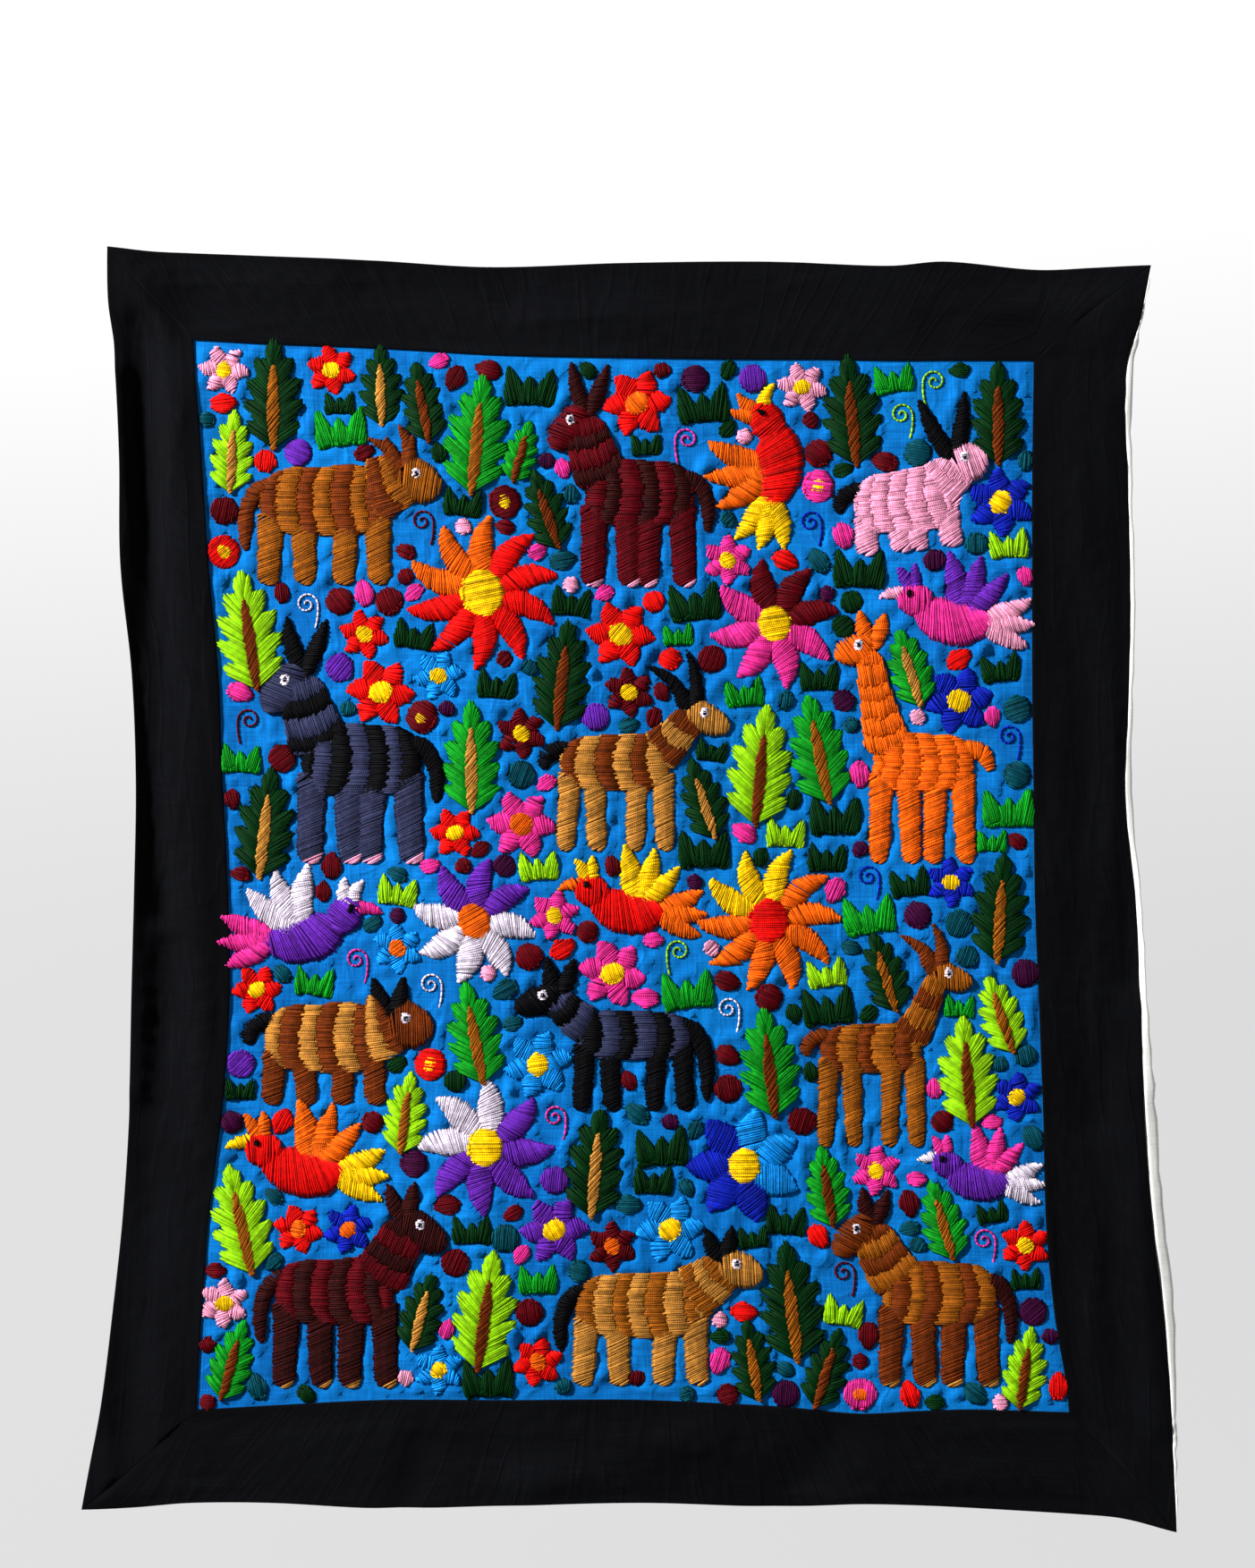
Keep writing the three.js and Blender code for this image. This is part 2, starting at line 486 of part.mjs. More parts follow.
function solidOf(geometry) {
  const bare = geometry.clone();
  bare.deleteAttribute("normal");
  if (bare.hasAttribute("uv")) bare.deleteAttribute("uv");
  const merged = mergeVertices(bare, 1e-4);
  const vertProperties = merged.attributes.position.array;
  const triVerts = new Uint32Array(merged.index.array);
  return new wasm.Manifold(new wasm.Mesh({ numProp: 3, vertProperties, triVerts }));
}

function geometryOf(solid) {
  const mesh = solid.getMesh();
  const geometry = new THREE.BufferGeometry();
  geometry.setAttribute("position", new THREE.BufferAttribute(mesh.vertProperties, 3));
  geometry.setIndex(new THREE.BufferAttribute(mesh.triVerts, 1));
  geometry.computeVertexNormals();
  return geometry;
}

// The layer of cloth that all figures are cut from, right in front of the panel
const stitchLayer = solidOf(panelSheet(-GAP - STITCHES_THICK, -GAP));

// An upright prism of a limb at its place, long enough to pass through the whole layer
const PRISM_LONG = 80;
const STEPS = { wide: 6, slim: 4, lobe: 2 };
function limbPrism(part, place) {
  const widest = Math.max(...part.spots.map((one) => one.half));
  const steps = widest > 10 ? STEPS.wide : widest >= 7 ? STEPS.slim : STEPS.lobe;
  const turn = THREE.MathUtils.degToRad(place.turn);
  const ring = outline(part, steps).map((point) => {
    point.x *= place.faces;
    return point.rotateAround(new THREE.Vector2(), turn).multiplyScalar(place.grow);
  });
  const prism = new THREE.ExtrudeGeometry(new THREE.Shape(ring), { depth: PRISM_LONG, bevelEnabled: false });
  prism.rotateX(Math.PI / 2);
  prism.translate(place.x, PRISM_LONG / 2, place.z);
  return solidOf(prism);
}

// One figure: the layer inside the joined prisms of its limbs
function figure(place) {
  const prisms = limbsOf(place.figure).map((part) => limbPrism(part, place));
  const joined = prisms.reduce((all, prism) => all.add(prism));
  return geometryOf(stitchLayer.intersect(joined));
}

const hanging = new THREE.Group();

function addPiece(name, geometry, material) {
  const mesh = new THREE.Mesh(geometry, material);
  mesh.name = name;
  hanging.add(mesh);
}

addPiece("panel", panelSheet(0, PANEL_THICK), CLOTH.ground);
for (const side of ["top", "bottom", "left", "right"]) {
  addPiece(`border_${side}`, borderSheet(side), CLOTH.border);
}
addPiece("lining", liningSheet(), CLOTH.lining);
PLACES.forEach((place, i) => {
  const color = YARN[place.yarn];
  const floss = new THREE.MeshStandardMaterial({ color, roughness: 0.6, metalness: 0 });
  addPiece(`${place.figure}_${i + 1}`, figure(place), floss);
});

export default hanging;
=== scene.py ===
# %% [markdown]
# # An embroidered wall hanging
# A blue cotton panel is covered with padded satin-stitch animals, birds, flowers and leaves.
# Four black cotton strips frame it, joined by mitres, and a white lining rolls into sight
# past the right edge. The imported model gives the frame: every piece here is made in its
# coordinates, in metres, so nothing is fitted afterwards.

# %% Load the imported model
import math

import bpy
import numpy as np
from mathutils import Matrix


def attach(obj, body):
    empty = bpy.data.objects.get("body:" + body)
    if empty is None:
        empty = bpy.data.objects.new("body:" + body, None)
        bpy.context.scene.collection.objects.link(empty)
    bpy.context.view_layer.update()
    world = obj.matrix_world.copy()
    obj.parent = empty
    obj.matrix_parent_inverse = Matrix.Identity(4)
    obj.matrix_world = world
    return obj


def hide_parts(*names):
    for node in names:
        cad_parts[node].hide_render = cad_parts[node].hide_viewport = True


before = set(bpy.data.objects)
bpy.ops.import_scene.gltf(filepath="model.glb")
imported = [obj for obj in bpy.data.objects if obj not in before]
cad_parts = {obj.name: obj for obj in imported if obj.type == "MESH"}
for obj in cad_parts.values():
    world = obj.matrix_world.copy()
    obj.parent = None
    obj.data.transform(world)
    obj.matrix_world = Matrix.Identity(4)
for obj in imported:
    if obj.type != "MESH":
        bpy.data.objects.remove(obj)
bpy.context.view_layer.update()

BODY = "root"
MM = 0.001

# %% [markdown]
# ## The camera
# The photograph looks straight at the cloth, so a long lens stands level in front of it.
# The distance follows from similar triangles: half the picture's height on the cloth is to
# the distance as half the sensor is to the focal length.

# %% Camera
PICTURE = (1403, 1753)
MM_PER_PIXEL = 0.65
# The pixel of the photograph that shows the origin, the middle of the top edge
ORIGIN_PIXEL = (703, 294)
LENS = 85.0
SENSOR = 36.0


def place_camera():
    """Puts the camera in front of the picture's middle, at height / 2 * lens / (sensor / 2)."""
    data = bpy.data.cameras.new("camera")
    data.lens = LENS
    data.sensor_width = SENSOR
    camera = bpy.data.objects.new("camera", data)
    bpy.context.collection.objects.link(camera)
    x = (PICTURE[0] / 2 - ORIGIN_PIXEL[0]) * MM_PER_PIXEL
    z = -(PICTURE[1] / 2 - ORIGIN_PIXEL[1]) * MM_PER_PIXEL
    distance = PICTURE[1] * MM_PER_PIXEL * LENS / SENSOR
    camera.location = (x * MM, -distance * MM, z * MM)
    camera.rotation_euler = (math.pi / 2, 0, 0)
    bpy.context.scene.camera = camera
    return camera


print("camera at", [round(v, 3) for v in place_camera().location])

# %% [markdown]
# ## The form in which the cloth hangs
# A hung cloth is a sheet with wavy edges and soft folds. A cloth simulation could drape it,
# but it would hang straight, so its form is given in short tables instead. Two say where its
# upright and level lines run, and a third lists the folds. They are the sizes that the
# solids were built from, in millimetres, so what is made here lies on the solids. Two
# counts name a point of the cloth: across and down, where 0 and 3 are the outer edges and 1
# and 2 the seams of the panel.

# %% Tables of the hung form


def columns(names, rows):
    """Turns a table of rows into one array for each named column."""
    return dict(zip(names.split(), np.array(rows, float).T))


UPRIGHTS = columns("down left_edge left_seam right_seam right_edge lining_shows", [
    (0.0, -378, -318, 295, 378, 0.6),
    (0.044, -378, -318, 295, 370, 2),
    (0.08, -374, -317, 295, 361, 6),
    (0.165, -370, -311, 294, 363, 4),
    (0.25, -369, -306, 294, 365, 4),
    (0.336, -361, -299, 294, 364, 4),
    (0.421, -358, -296, 295, 361, 6),
    (0.506, -359, -292, 296, 369, 5),
    (0.592, -361, -291, 299, 372, 6),
    (0.677, -363, -296, 302, 374, 10),
    (0.762, -368, -306, 304, 380, 10),
    (0.834, -375, -311, 310, 388, 9),
    (0.905, -383, -315, 320, 393, 5),
    (1.0, -397, -318, 324, 397, 0.6),
])
LEVELS = columns("across top_edge top_seam bottom_seam bottom_edge", [
    (0.0, 11, -54, -834, -905),
    (0.045, 8, -54, -834, -904),
    (0.091, 7, -55, -834, -901),
    (0.162, 5, -58, -831, -901),
    (0.262, 2, -61, -827, -905),
    (0.371, -3, -66, -827, -903),
    (0.497, 0, -68, -827, -901),
    (0.623, 1, -69, -832, -904),
    (0.69, -1, -69, -837, -902),
    (0.749, -2, -70, -835, -903),
    (0.799, 1, -70, -834, -905),
    (0.883, -5, -70, -836, -909),
    (0.941, -4, -70, -837, -912),
    (1.0, -3, -70, -837, -921),
])
SEAM_SHARES_ACROSS = np.array([0, 0.091, 0.883, 1])
SEAM_SHARES_DOWN = np.array([0, 0.0725, 0.915, 1])

# Soft ridges and troughs, from one place to another, with the width in which they fade
FOLDS = columns("from_x from_z to_x to_z wide rise", [
    (-356, -45, -338, -470, 13, -7),
    (-336, -500, -366, -850, 15, -6),
    (-374, -80, -358, -600, 12, 5),
    (-322, -90, -304, -640, 16, 5),
    (-372, 6, -352, -20, 26, 8),
    (376, -4, 352, -40, 30, 10),
    (366, -110, 368, -520, 13, -7),
    (330, -230, 342, -620, 15, -4),
    (362, -600, 384, -840, 17, 5),
    (392, -912, 372, -885, 28, 8),
    (-392, -900, -380, -880, 26, 5),
    (-165, -905, -150, -862, 16, -4),
    (-70, -885, 60, -850, 18, 4),
    (110, -905, 150, -860, 20, -4),
    (-190, -12, -90, -30, 18, -4),
    (130, -8, 200, -40, 20, 4),
    (-130, -150, -90, -720, 85, 6),
    (130, -130, 170, -700, 75, -5),
])
print("upright rows", len(UPRIGHTS["down"]), "folds", len(FOLDS["rise"]))

# %% Where a point of the cloth hangs


def curve(table, key, column, at):
    """Smooth curve through a table's column: a cubic in each step whose slope at a row is
    the rise between its neighbours over their distance."""
    xs, ys = table[key], table[column]
    last = len(xs) - 1
    low = np.maximum(np.arange(last + 1) - 1, 0)
    high = np.minimum(np.arange(last + 1) + 1, last)
    slope = (ys[high] - ys[low]) / (xs[high] - xs[low])
    i = np.clip(np.searchsorted(xs, at, side="left") - 1, 0, last - 1)
    step = xs[i + 1] - xs[i]
    w = (at - xs[i]) / step
    rise = w * w * (3 - 2 * w)
    bend = step * w * (1 - w) * ((1 - w) * slope[i] - w * slope[i + 1])
    return ys[i] + (ys[i + 1] - ys[i]) * rise + bend


def between(values, at):
    """Straight lines through four values, given for the counts 0, 1, 2 and 3."""
    values = np.asarray(values)
    i = np.clip(np.floor(at).astype(int), 0, 2)
    if values.ndim == 1:
        low, high = values[i], values[i + 1]
    else:
        low = np.take_along_axis(values, i[None], 0)[0]
        high = np.take_along_axis(values, i[None] + 1, 0)[0]
    return low + (high - low) * (at - i)


def forward(x, z):
    """How far the cloth stands towards the viewer: the sum over the folds of its rise times
    e to the minus square of the distance over the width."""
    total = np.zeros(np.shape(x))
    for from_x, from_z, to_x, to_z, wide, rise in zip(*FOLDS.values()):
        run = np.array([to_x - from_x, to_z - from_z])
        share = ((x - from_x) * run[0] + (z - from_z) * run[1]) / (run @ run)
        share = np.clip(share, 0, 1)
        away = np.hypot(x - from_x - share * run[0], z - from_z - share * run[1])
        total += rise * np.exp(-((away / wide) ** 2))
    return total


def hung(across, down):
    """The place x, z of a point of the cloth, by straight lines between the curves of the
    edges and the seams. Past 3 across, the lining's edge shows."""
    inner = np.minimum(across, 3)
    share_across = between(SEAM_SHARES_ACROSS, inner)
    share_down = between(SEAM_SHARES_DOWN, down)
    names = ("left_edge", "left_seam", "right_seam", "right_edge")
    uprights = [curve(UPRIGHTS, "down", name, share_down) for name in names]
    names = ("top_edge", "top_seam", "bottom_seam", "bottom_edge")
    levels = [curve(LEVELS, "across", name, share_across) for name in names]
    shows = curve(UPRIGHTS, "down", "lining_shows", share_down)
    x = between(uprights, inner) + np.maximum(across - 3, 0) * shows
    return x, between(levels, down)


corner = hung(np.array([0.0, 3.0]), np.array([0.0, 3.0]))
print("corners at", np.round(corner, 1).tolist())

# %% [markdown]
# ## Soft unevenness
# Cloth is never smooth. A noise texture could roughen the look of it, but here the points of
# the cloth have to move. Adding fourteen plane waves of nearly one length, each with its own
# direction and phase, gives a cloudy unevenness with no grid in it.

# %% Waves


def waves(x, z, length, seed, stretch=(1.0, 1.0), count=14):
    """Sum of count sines of about the given wave length, scaled to an average square of 1.
    stretch lengthens the waves along x and z."""
    chance = np.random.default_rng(seed)
    angle = chance.uniform(0, 2 * np.pi, count)
    scale = 2 * np.pi / (length * chance.uniform(0.75, 1.35, count))
    phase = chance.uniform(0, 2 * np.pi, count)
    total = np.zeros(np.shape(x))
    for a, k, p in zip(angle, scale, phase):
        total += np.sin(k * (np.cos(a) * x / stretch[0] + np.sin(a) * z / stretch[1]) + p)
    return total * math.sqrt(2 / count)


def ridge(value, sharp):
    """Narrow creases where cloudy unevenness crosses zero: 1 minus its size times sharp,
    not below 0."""
    return np.maximum(1 - np.abs(value) * sharp, 0)


def smooth(value, low, high):
    """Rises from 0 at low to 1 at high with level ends."""
    w = np.clip((value - low) / (high - low), 0, 1)
    return w * w * (3 - 2 * w)


sample = waves(*np.random.default_rng(0).uniform(0, 500, (2, 999)), 30, 1)
print("waves mostly lie between", np.round(np.percentile(sample, [5, 95]), 2).tolist())

# %% [markdown]
# ## Shader formulas
# A material is a small program. Its nodes could be added and linked one by one, but sums and
# products are hard to read that way. So a small class wraps a socket, and arithmetic on it
# adds the Math nodes. One method adds every other kind of node.

# %% Sockets as values


class Value:
    """One output socket of a material, with arithmetic on numbers."""

    def __init__(self, shader, socket):
        self.shader = shader
        self.socket = socket

    def math(self, operation, *others):
        """A Math node on this value and the others, in that order."""
        inputs = dict(enumerate((self, *others)))
        return self.shader.node("ShaderNodeMath", {"operation": operation}, inputs)

    def __add__(self, other):
        return self.math("ADD", other)

    def __sub__(self, other):
        return self.math("SUBTRACT", other)

    def __rsub__(self, other):
        inputs = {0: other, 1: self}
        return self.shader.node("ShaderNodeMath", {"operation": "SUBTRACT"}, inputs)

    def __mul__(self, other):
        return self.math("MULTIPLY", other)

    __radd__ = __add__
    __rmul__ = __mul__

    def sine(self):
        return self.math("SINE")


class Shader:
    """The node tree of one material."""

    def __init__(self, name):
        self.material = bpy.data.materials.new(name)
        self.material.use_nodes = True
        self.tree = self.material.node_tree
        self.tree.nodes.clear()

    def node(self, kind, settings=None, inputs=None, output=0):
        """Adds a node, sets its settings first, then the values or links of its sockets."""
        made = self.tree.nodes.new(kind)
        for name, value in (settings or {}).items():
            setattr(made, name, value)
        for name, value in (inputs or {}).items():
            if isinstance(value, Value):
                self.tree.links.new(value.socket, made.inputs[name])
            else:
                made.inputs[name].default_value = value
        return Value(self, made.outputs[output]) if len(made.outputs) else None

    def mix(self, factor, one, other):
        """Colour one where the factor is 0 and the other where it is 1."""
        inputs = {0: factor, 6: one, 7: other}
        return self.node("ShaderNodeMix", {"data_type": "RGBA"}, inputs, 2)

    def scaled(self, vector, factor):
        """A colour or vector times one number."""
        inputs = {0: vector, "Scale": factor}
        return self.node("ShaderNodeVectorMath", {"operation": "SCALE"}, inputs)

    def stretched(self, vector, scale):
        """A vector with each axis times its own number."""
        inputs = {0: vector, 1: scale}
        return self.node("ShaderNodeVectorMath", {"operation": "MULTIPLY"}, inputs)

    def place(self):
        """Object coordinates, in metres: the fourth output of Texture Coordinate."""
        return self.node("ShaderNodeTexCoord", output=3)

    def axes(self, vector):
        """The three parts of a vector, as values."""
        parts = self.node("ShaderNodeSeparateXYZ", inputs={0: vector})
        return [Value(self, socket) for socket in parts.socket.node.outputs]

    def noise(self, vector, scale, detail):
        """Cloudy noise between 0 and 1, most of it near 0.5."""
        inputs = {"Vector": vector, "Scale": scale, "Detail": detail}
        return self.node("ShaderNodeTexNoise", inputs=inputs)

    def ramp(self, value, low, high, bottom=0.0, top=1.0):
        """Rises smoothly from bottom, at low, to top, at high."""
        inputs = {"Value": value, "From Min": low, "From Max": high, "To Min": bottom, "To Max": top}
        return self.node("ShaderNodeMapRange", {"interpolation_type": "SMOOTHSTEP"}, inputs)

    def bump(self, height, distance, strength):
        """The normal of a surface that stands height times distance proud."""
        inputs = {"Height": height, "Distance": distance, "Strength": strength}
        return self.node("ShaderNodeBump", inputs=inputs)

    def finish(self, **inputs):
        """Adds the surface and the output. Names of sockets are given with underscores."""
        named = {name.replace("_", " "): value for name, value in inputs.items()}
        surface = self.node("ShaderNodeBsdfPrincipled", inputs=named)
        self.node("ShaderNodeOutputMaterial", inputs={"Surface": surface})
        return self.material


# %% Colours


def colour(red, green, blue):
    """A colour as it looks on a screen, 0 to 255, turned into the light that it sends."""
    share = np.array([red, green, blue]) / 255
    light = np.where(share <= 0.04045, share / 12.92, ((share + 0.055) / 1.055) ** 2.4)
    return (*light.tolist(), 1.0)


print("mid grey sends", round(colour(128, 128, 128)[0], 3))

# %% [markdown]
# ## Studio
# The cloth hangs in a large pale tent: a level floor that curves up into a round side and a
# roof. The camera alone sees the tent, which glows a little more high up and on the left. The
# cloth is lit apart from it, so that neither spoils the other: a small strong lamp on the
# upper left draws the shadow of every stitch, a weak one on the right opens the shadows, one
# behind shows the lining, and a dim grey sky fills in the rest.

# %% Tent
TENT = {"floor": -1.75, "flat": 5.0, "bend": 3.0, "side_top": 3.0, "roof": 4.0, "corners": 96}


def tent():
    """A profile turned round the upright axis: a flat floor, a quarter circle, an upright
    side and a quarter ellipse for the roof."""
    wide, n = TENT["flat"] + TENT["bend"], TENT["corners"]
    turn = np.linspace(0, np.pi / 2, 16)
    floor = np.linspace(0.001, TENT["flat"], 6)[:-1]
    radius = [floor, TENT["flat"] + TENT["bend"] * np.sin(turn), wide * np.cos(turn[:-1])]
    bend = TENT["floor"] + TENT["bend"] * (1 - np.cos(turn))
    roof = TENT["side_top"] + TENT["roof"] * np.sin(turn[:-1])
    height = [np.full(len(floor), TENT["floor"]), bend, roof]
    radius, height = np.concatenate(radius), np.concatenate(height)
    angle = np.linspace(0, 2 * np.pi, n, endpoint=False)
    x = radius[:, None] * np.sin(angle)
    y = radius[:, None] * np.cos(angle)
    z = np.broadcast_to(height[:, None], x.shape)
    points = np.stack([x, y, z], -1).reshape(-1, 3)
    ring, here = np.meshgrid(np.arange(len(radius) - 1) * n, np.arange(n), indexing="ij")
    after = (here + 1) % n
    faces = np.stack([ring + here, ring + after, ring + n + after, ring + n + here], -1)
    mesh = bpy.data.meshes.new("tent")
    mesh.from_pydata(points.tolist(), [], faces.reshape(-1, 4).tolist())
    mesh.shade_smooth()
    made = bpy.data.objects.new("tent", mesh)
    bpy.context.collection.objects.link(made)
    return made


backdrop = tent()
print("tent faces", len(backdrop.data.polygons))

# %% Glow and sky
# What the tent sends low down and high up, and the share of it on the left and on the right
GLOW_LOW, GLOW_HIGH = (0.783, 0.783, 0.787, 1), (1.19, 1.19, 1.19, 1)
GLOW_LEFT, GLOW_RIGHT = 0.985, 0.90
SKY = (0.12, 0.12, 0.123, 1)


def tent_paint():
    """Paint that glows and scatters nothing. Ramps over 3 m mix what it sends."""
    shader = Shader("tent_paint")
    side, _, height = shader.axes(shader.place())
    glow = shader.mix(shader.ramp(height, -1.0, 2.2), GLOW_LOW, GLOW_HIGH)
    share = shader.ramp(side, -3.0, 3.0, GLOW_LEFT, GLOW_RIGHT)
    paint = shader.finish(
        Base_Color=(0, 0, 0, 1),
        Roughness=1.0,
        Specular_IOR_Level=0.0,
        Emission_Color=shader.scaled(glow, share),
        Emission_Strength=1.0,
    )
    paint.cycles.emission_sampling = "NONE"
    return paint


def soft_sky():
    """A world of one dim grey, which lights all sides alike."""
    sky = bpy.data.worlds.new("soft_sky")
    sky.use_nodes = True
    sky.node_tree.nodes["Background"].inputs["Color"].default_value = SKY
    return sky


backdrop.data.materials.append(tent_paint())
backdrop.visible_diffuse = False
backdrop.visible_glossy = False
backdrop.visible_shadow = False
bpy.context.scene.world = soft_sky()
print("tent sends", GLOW_LOW[0], "to", GLOW_HIGH[0], "and the sky", SKY[0])

# %% Lamps
# Name, place and size in metres, and power in watts
LAMPS = (
    ("key_lamp", (-3.6, -2.2, 1.8), 0.4, 540),
    ("fill_lamp", (4.0, -1.5, -0.3), 1.5, 32),
    ("back_lamp", (3.2, 2.4, 1.4), 0.8, 190),
)
CLOTH_MIDDLE = (0.0, 0.0, -0.45)


def lamp(name, place, size, power):
    """A square lamp, turned to the middle of the cloth, that the camera doesn't see."""
    data = bpy.data.lights.new(name, "AREA")
    data.size = size
    data.energy = power
    made = bpy.data.objects.new(name, data)
    bpy.context.collection.objects.link(made)
    way = np.array(CLOTH_MIDDLE) - np.array(place)
    tilt = math.atan2(math.hypot(way[0], way[1]), -way[2])
    made.location = place
    made.rotation_euler = (tilt, 0, math.atan2(way[1], way[0]) - math.pi / 2)
    made.visible_camera = False
    return made


for facts in LAMPS:
    print(lamp(*facts).name, "gives", facts[-1], "watts")
bpy.context.scene.view_settings.view_transform = "Standard"

# %% [markdown]
# ## Floss and cloth
# Embroidery floss is a loose twist of shiny cotton. Every stitch carries its own colour in
# an attribute, because no two stitches take the dye alike, with painted shade towards its
# ends, and its own map, whose first axis runs along the thread, so that the twist can follow
# it. Cloth is a plain weave: one thread over, one under. Its map is the flat cloth before it
# was hung. A photograph of cloth could be laid on instead, but a formula stays sharp close up
# and shows no repeat.

# %% Floss
YARN = {
    "black": colour(5, 5, 8),
    "slate": colour(50, 54, 84),
    "dark_brown": colour(50, 9, 9),
    "brown": colour(112, 46, 6),
    "ochre": colour(152, 84, 14),
    "tan": colour(188, 128, 52),
    "orange": colour(238, 100, 8),
    "pink": colour(238, 158, 190),
    "rose": colour(230, 50, 148),
    "maroon": colour(92, 2, 14),
    "red": colour(228, 12, 8),
    "violet": colour(102, 38, 168),
    "white": colour(226, 214, 230),
    "royal": colour(14, 34, 172),
    "lime": colour(146, 206, 12),
    "green": colour(12, 144, 28),
    "dark_green": colour(2, 46, 12),
    "yellow": colour(248, 200, 4),
    "sky": colour(14, 142, 226),
    "teal": colour(2, 72, 86),
    "plum": colour(60, 6, 50),
}
# How far the twist turns in each millimetre of thread, in radians
TWIST = 5.2


def floss():
    """Yarn colour, with painted shade at the ends of a stitch, times cloudy dye, with the
    twist as a slanting ripple along the thread.
    """
    shader = Shader("floss")
    yarn = shader.node("ShaderNodeAttribute", {"attribute_name": "yarn"})
    cloud = shader.noise(shader.place(), 260.0, 2.0)
    dye = shader.ramp(cloud, 0.25, 0.75, 0.76, 1.2)
    gone, around, _ = shader.axes(shader.node("ShaderNodeUVMap", {"uv_map": "thread"}))
    twist = (gone * TWIST + around * (2 * math.pi)).sine()
    return shader.finish(
        Base_Color=shader.scaled(yarn, dye),
        Roughness=0.5,
        Specular_IOR_Level=0.07,
        Normal=shader.bump(twist, 0.00012, 0.7),
    )


FLOSS = floss()
print("yarns", len(YARN), "in", FLOSS.name)

# %% Cotton
# Noise in steps for each millimetre: across a streak, and along it
STREAK_ACROSS, STREAK_ALONG = 1.1, 0.03


def weave(shader, cloth, threads):
    """Plain weave on a flat cloth's map in millimetres: the product of one sine along each
    thread direction, which is high where a thread passes over."""
    u, v, _ = shader.axes(cloth)
    turn = 2 * math.pi * threads
    return (u * turn).sine() * (v * turn).sine()


def wrinkles(shader, cloth, scale):
    """Thin meandering lines, 1 on the line and 0 beside it: where cloudy noise, drawn out by
    the scale along both threads, passes through its middle value."""
    cloud = shader.noise(shader.stretched(cloth, scale), 1.0, 1.5)
    from_middle = (cloud - 0.5).math("ABSOLUTE")
    return shader.ramp(from_middle, 0.0, 0.06, 1.0, 0.0)


def cotton(name, dark, light, threads, depth, sheen, gloss, folds, scale, rough):
    """Woven cotton: the colour drifts between dark and light in streaks along both threads.
    A thread stands rough times the depth, and a wrinkle folds times the depth."""
    shader = Shader(name)
    cloth = shader.node("ShaderNodeUVMap", {"uv_map": "cloth"})
    down = shader.stretched(cloth, (STREAK_ACROSS, STREAK_ALONG, 1))
    level = shader.stretched(cloth, (STREAK_ALONG, STREAK_ACROSS, 1))
    streaks = shader.noise(down, 1.0, 2.0) * 0.5 + shader.noise(level, 1.0, 2.0) * 0.5
    clouds = shader.noise(shader.place(), 9.0, 3.0)
    share = shader.ramp(streaks * 0.7 + clouds * 0.3, 0.38, 0.62)
    height = weave(shader, cloth, threads) * rough + streaks * 2.0
    height = height + wrinkles(shader, cloth, scale) * folds
    return shader.finish(
        Base_Color=shader.mix(share, dark, light),
        Roughness=0.85,
        Specular_IOR_Level=gloss,
        Normal=shader.bump(height, depth, 0.8),
        Sheen_Weight=sheen,
        Sheen_Roughness=0.45,
    )


GROUND = cotton(
    "ground_cotton", colour(1, 94, 172), colour(4, 130, 216), threads=1.3, depth=0.00014,
    sheen=0.02, gloss=0.08, folds=4.0, scale=(0.032, 0.032, 1), rough=1.0,
)
BORDER = cotton(
    "border_cotton", colour(4, 4, 7), colour(10, 11, 15), threads=1.1, depth=0.00018,
    sheen=0.012, gloss=0.05, folds=3.0, scale=(0.045, 0.009, 1), rough=1.0,
)
LINING = cotton(
    "lining_cotton", colour(230, 229, 225), colour(246, 246, 242), threads=1.2, depth=0.00012,
    sheen=0.05, gloss=0.3, folds=1.6, scale=(0.016, 0.011, 1), rough=0.3,
)
print("cottons", [cloth.name for cloth in (GROUND, BORDER, LINING)])

# %% [markdown]
# ## From arrays to pieces
# Every piece is worked out as whole arrays of points and faces. They could go into the mesh
# as lists, but foreach_set copies an array in one go, which matters with a million faces.
# One helper does it for stitches and sheets alike, and sets each piece on its body.

# %% Meshes from arrays


def mesh_object(name, points, faces, material, maps=None, yarn=None):
    """Puts points in millimetres, and faces that all have as many corners, into a mesh at
    the origin. Maps give two numbers for each point, and yarn a colour."""
    mesh = bpy.data.meshes.new(name)
    mesh.vertices.add(len(points))
    mesh.vertices.foreach_set("co", (points * MM).astype(np.float32).ravel())
    mesh.loops.add(faces.size)
    mesh.loops.foreach_set("vertex_index", faces.astype(np.int32).ravel())
    mesh.polygons.add(len(faces))
    mesh.polygons.foreach_set("loop_start", np.arange(len(faces), dtype=np.int32) * faces.shape[1])
    for map_name, values in (maps or {}).items():
        layer = mesh.uv_layers.new(name=map_name)
        layer.uv.foreach_set("vector", values[faces.ravel()].astype(np.float32).ravel())
    if yarn is not None:
        layer = mesh.color_attributes.new("yarn", "FLOAT_COLOR", "POINT")
        layer.data.foreach_set("color", yarn.astype(np.float32).ravel())
    mesh.update(calc_edges=True)
    mesh.shade_smooth()
    mesh.materials.append(material)
    made = bpy.data.objects.new(name, mesh)
    bpy.context.collection.objects.link(made)
    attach(made, BODY)
    return made


print("every piece rides on", BODY)

# %% [markdown]
# ## Stitches
# A satin stitch is one straight pass of floss from one edge of a shape to the other. It
# could be painted on, but the shadow between neighbours and the ragged joins are what make
# embroidery look real. So each stitch is a closed tube of few faces that rises from the
# cloth, arches over the padding and dips again. A stitch is one row of numbers, and all
# tubes of a figure are made at once from the rows.

# %% Tubes for stitches
STITCH = "ax az bx bz base_a base_b crown half red green blue".split()
# Rings of the tube: share of the way, height on the arch, width, and painted shade at the ends
SHARES = np.array([0.0, 0.13, 0.5, 0.87, 1.0])
ARCH = np.array([0.0, 0.66, 1.0, 0.66, 0.0])
TAPER = np.array([0.45, 0.95, 1.0, 0.95, 0.45])
PAINTED_END_SHADE = np.array([0.62, 0.95, 1.0, 0.95, 0.62])
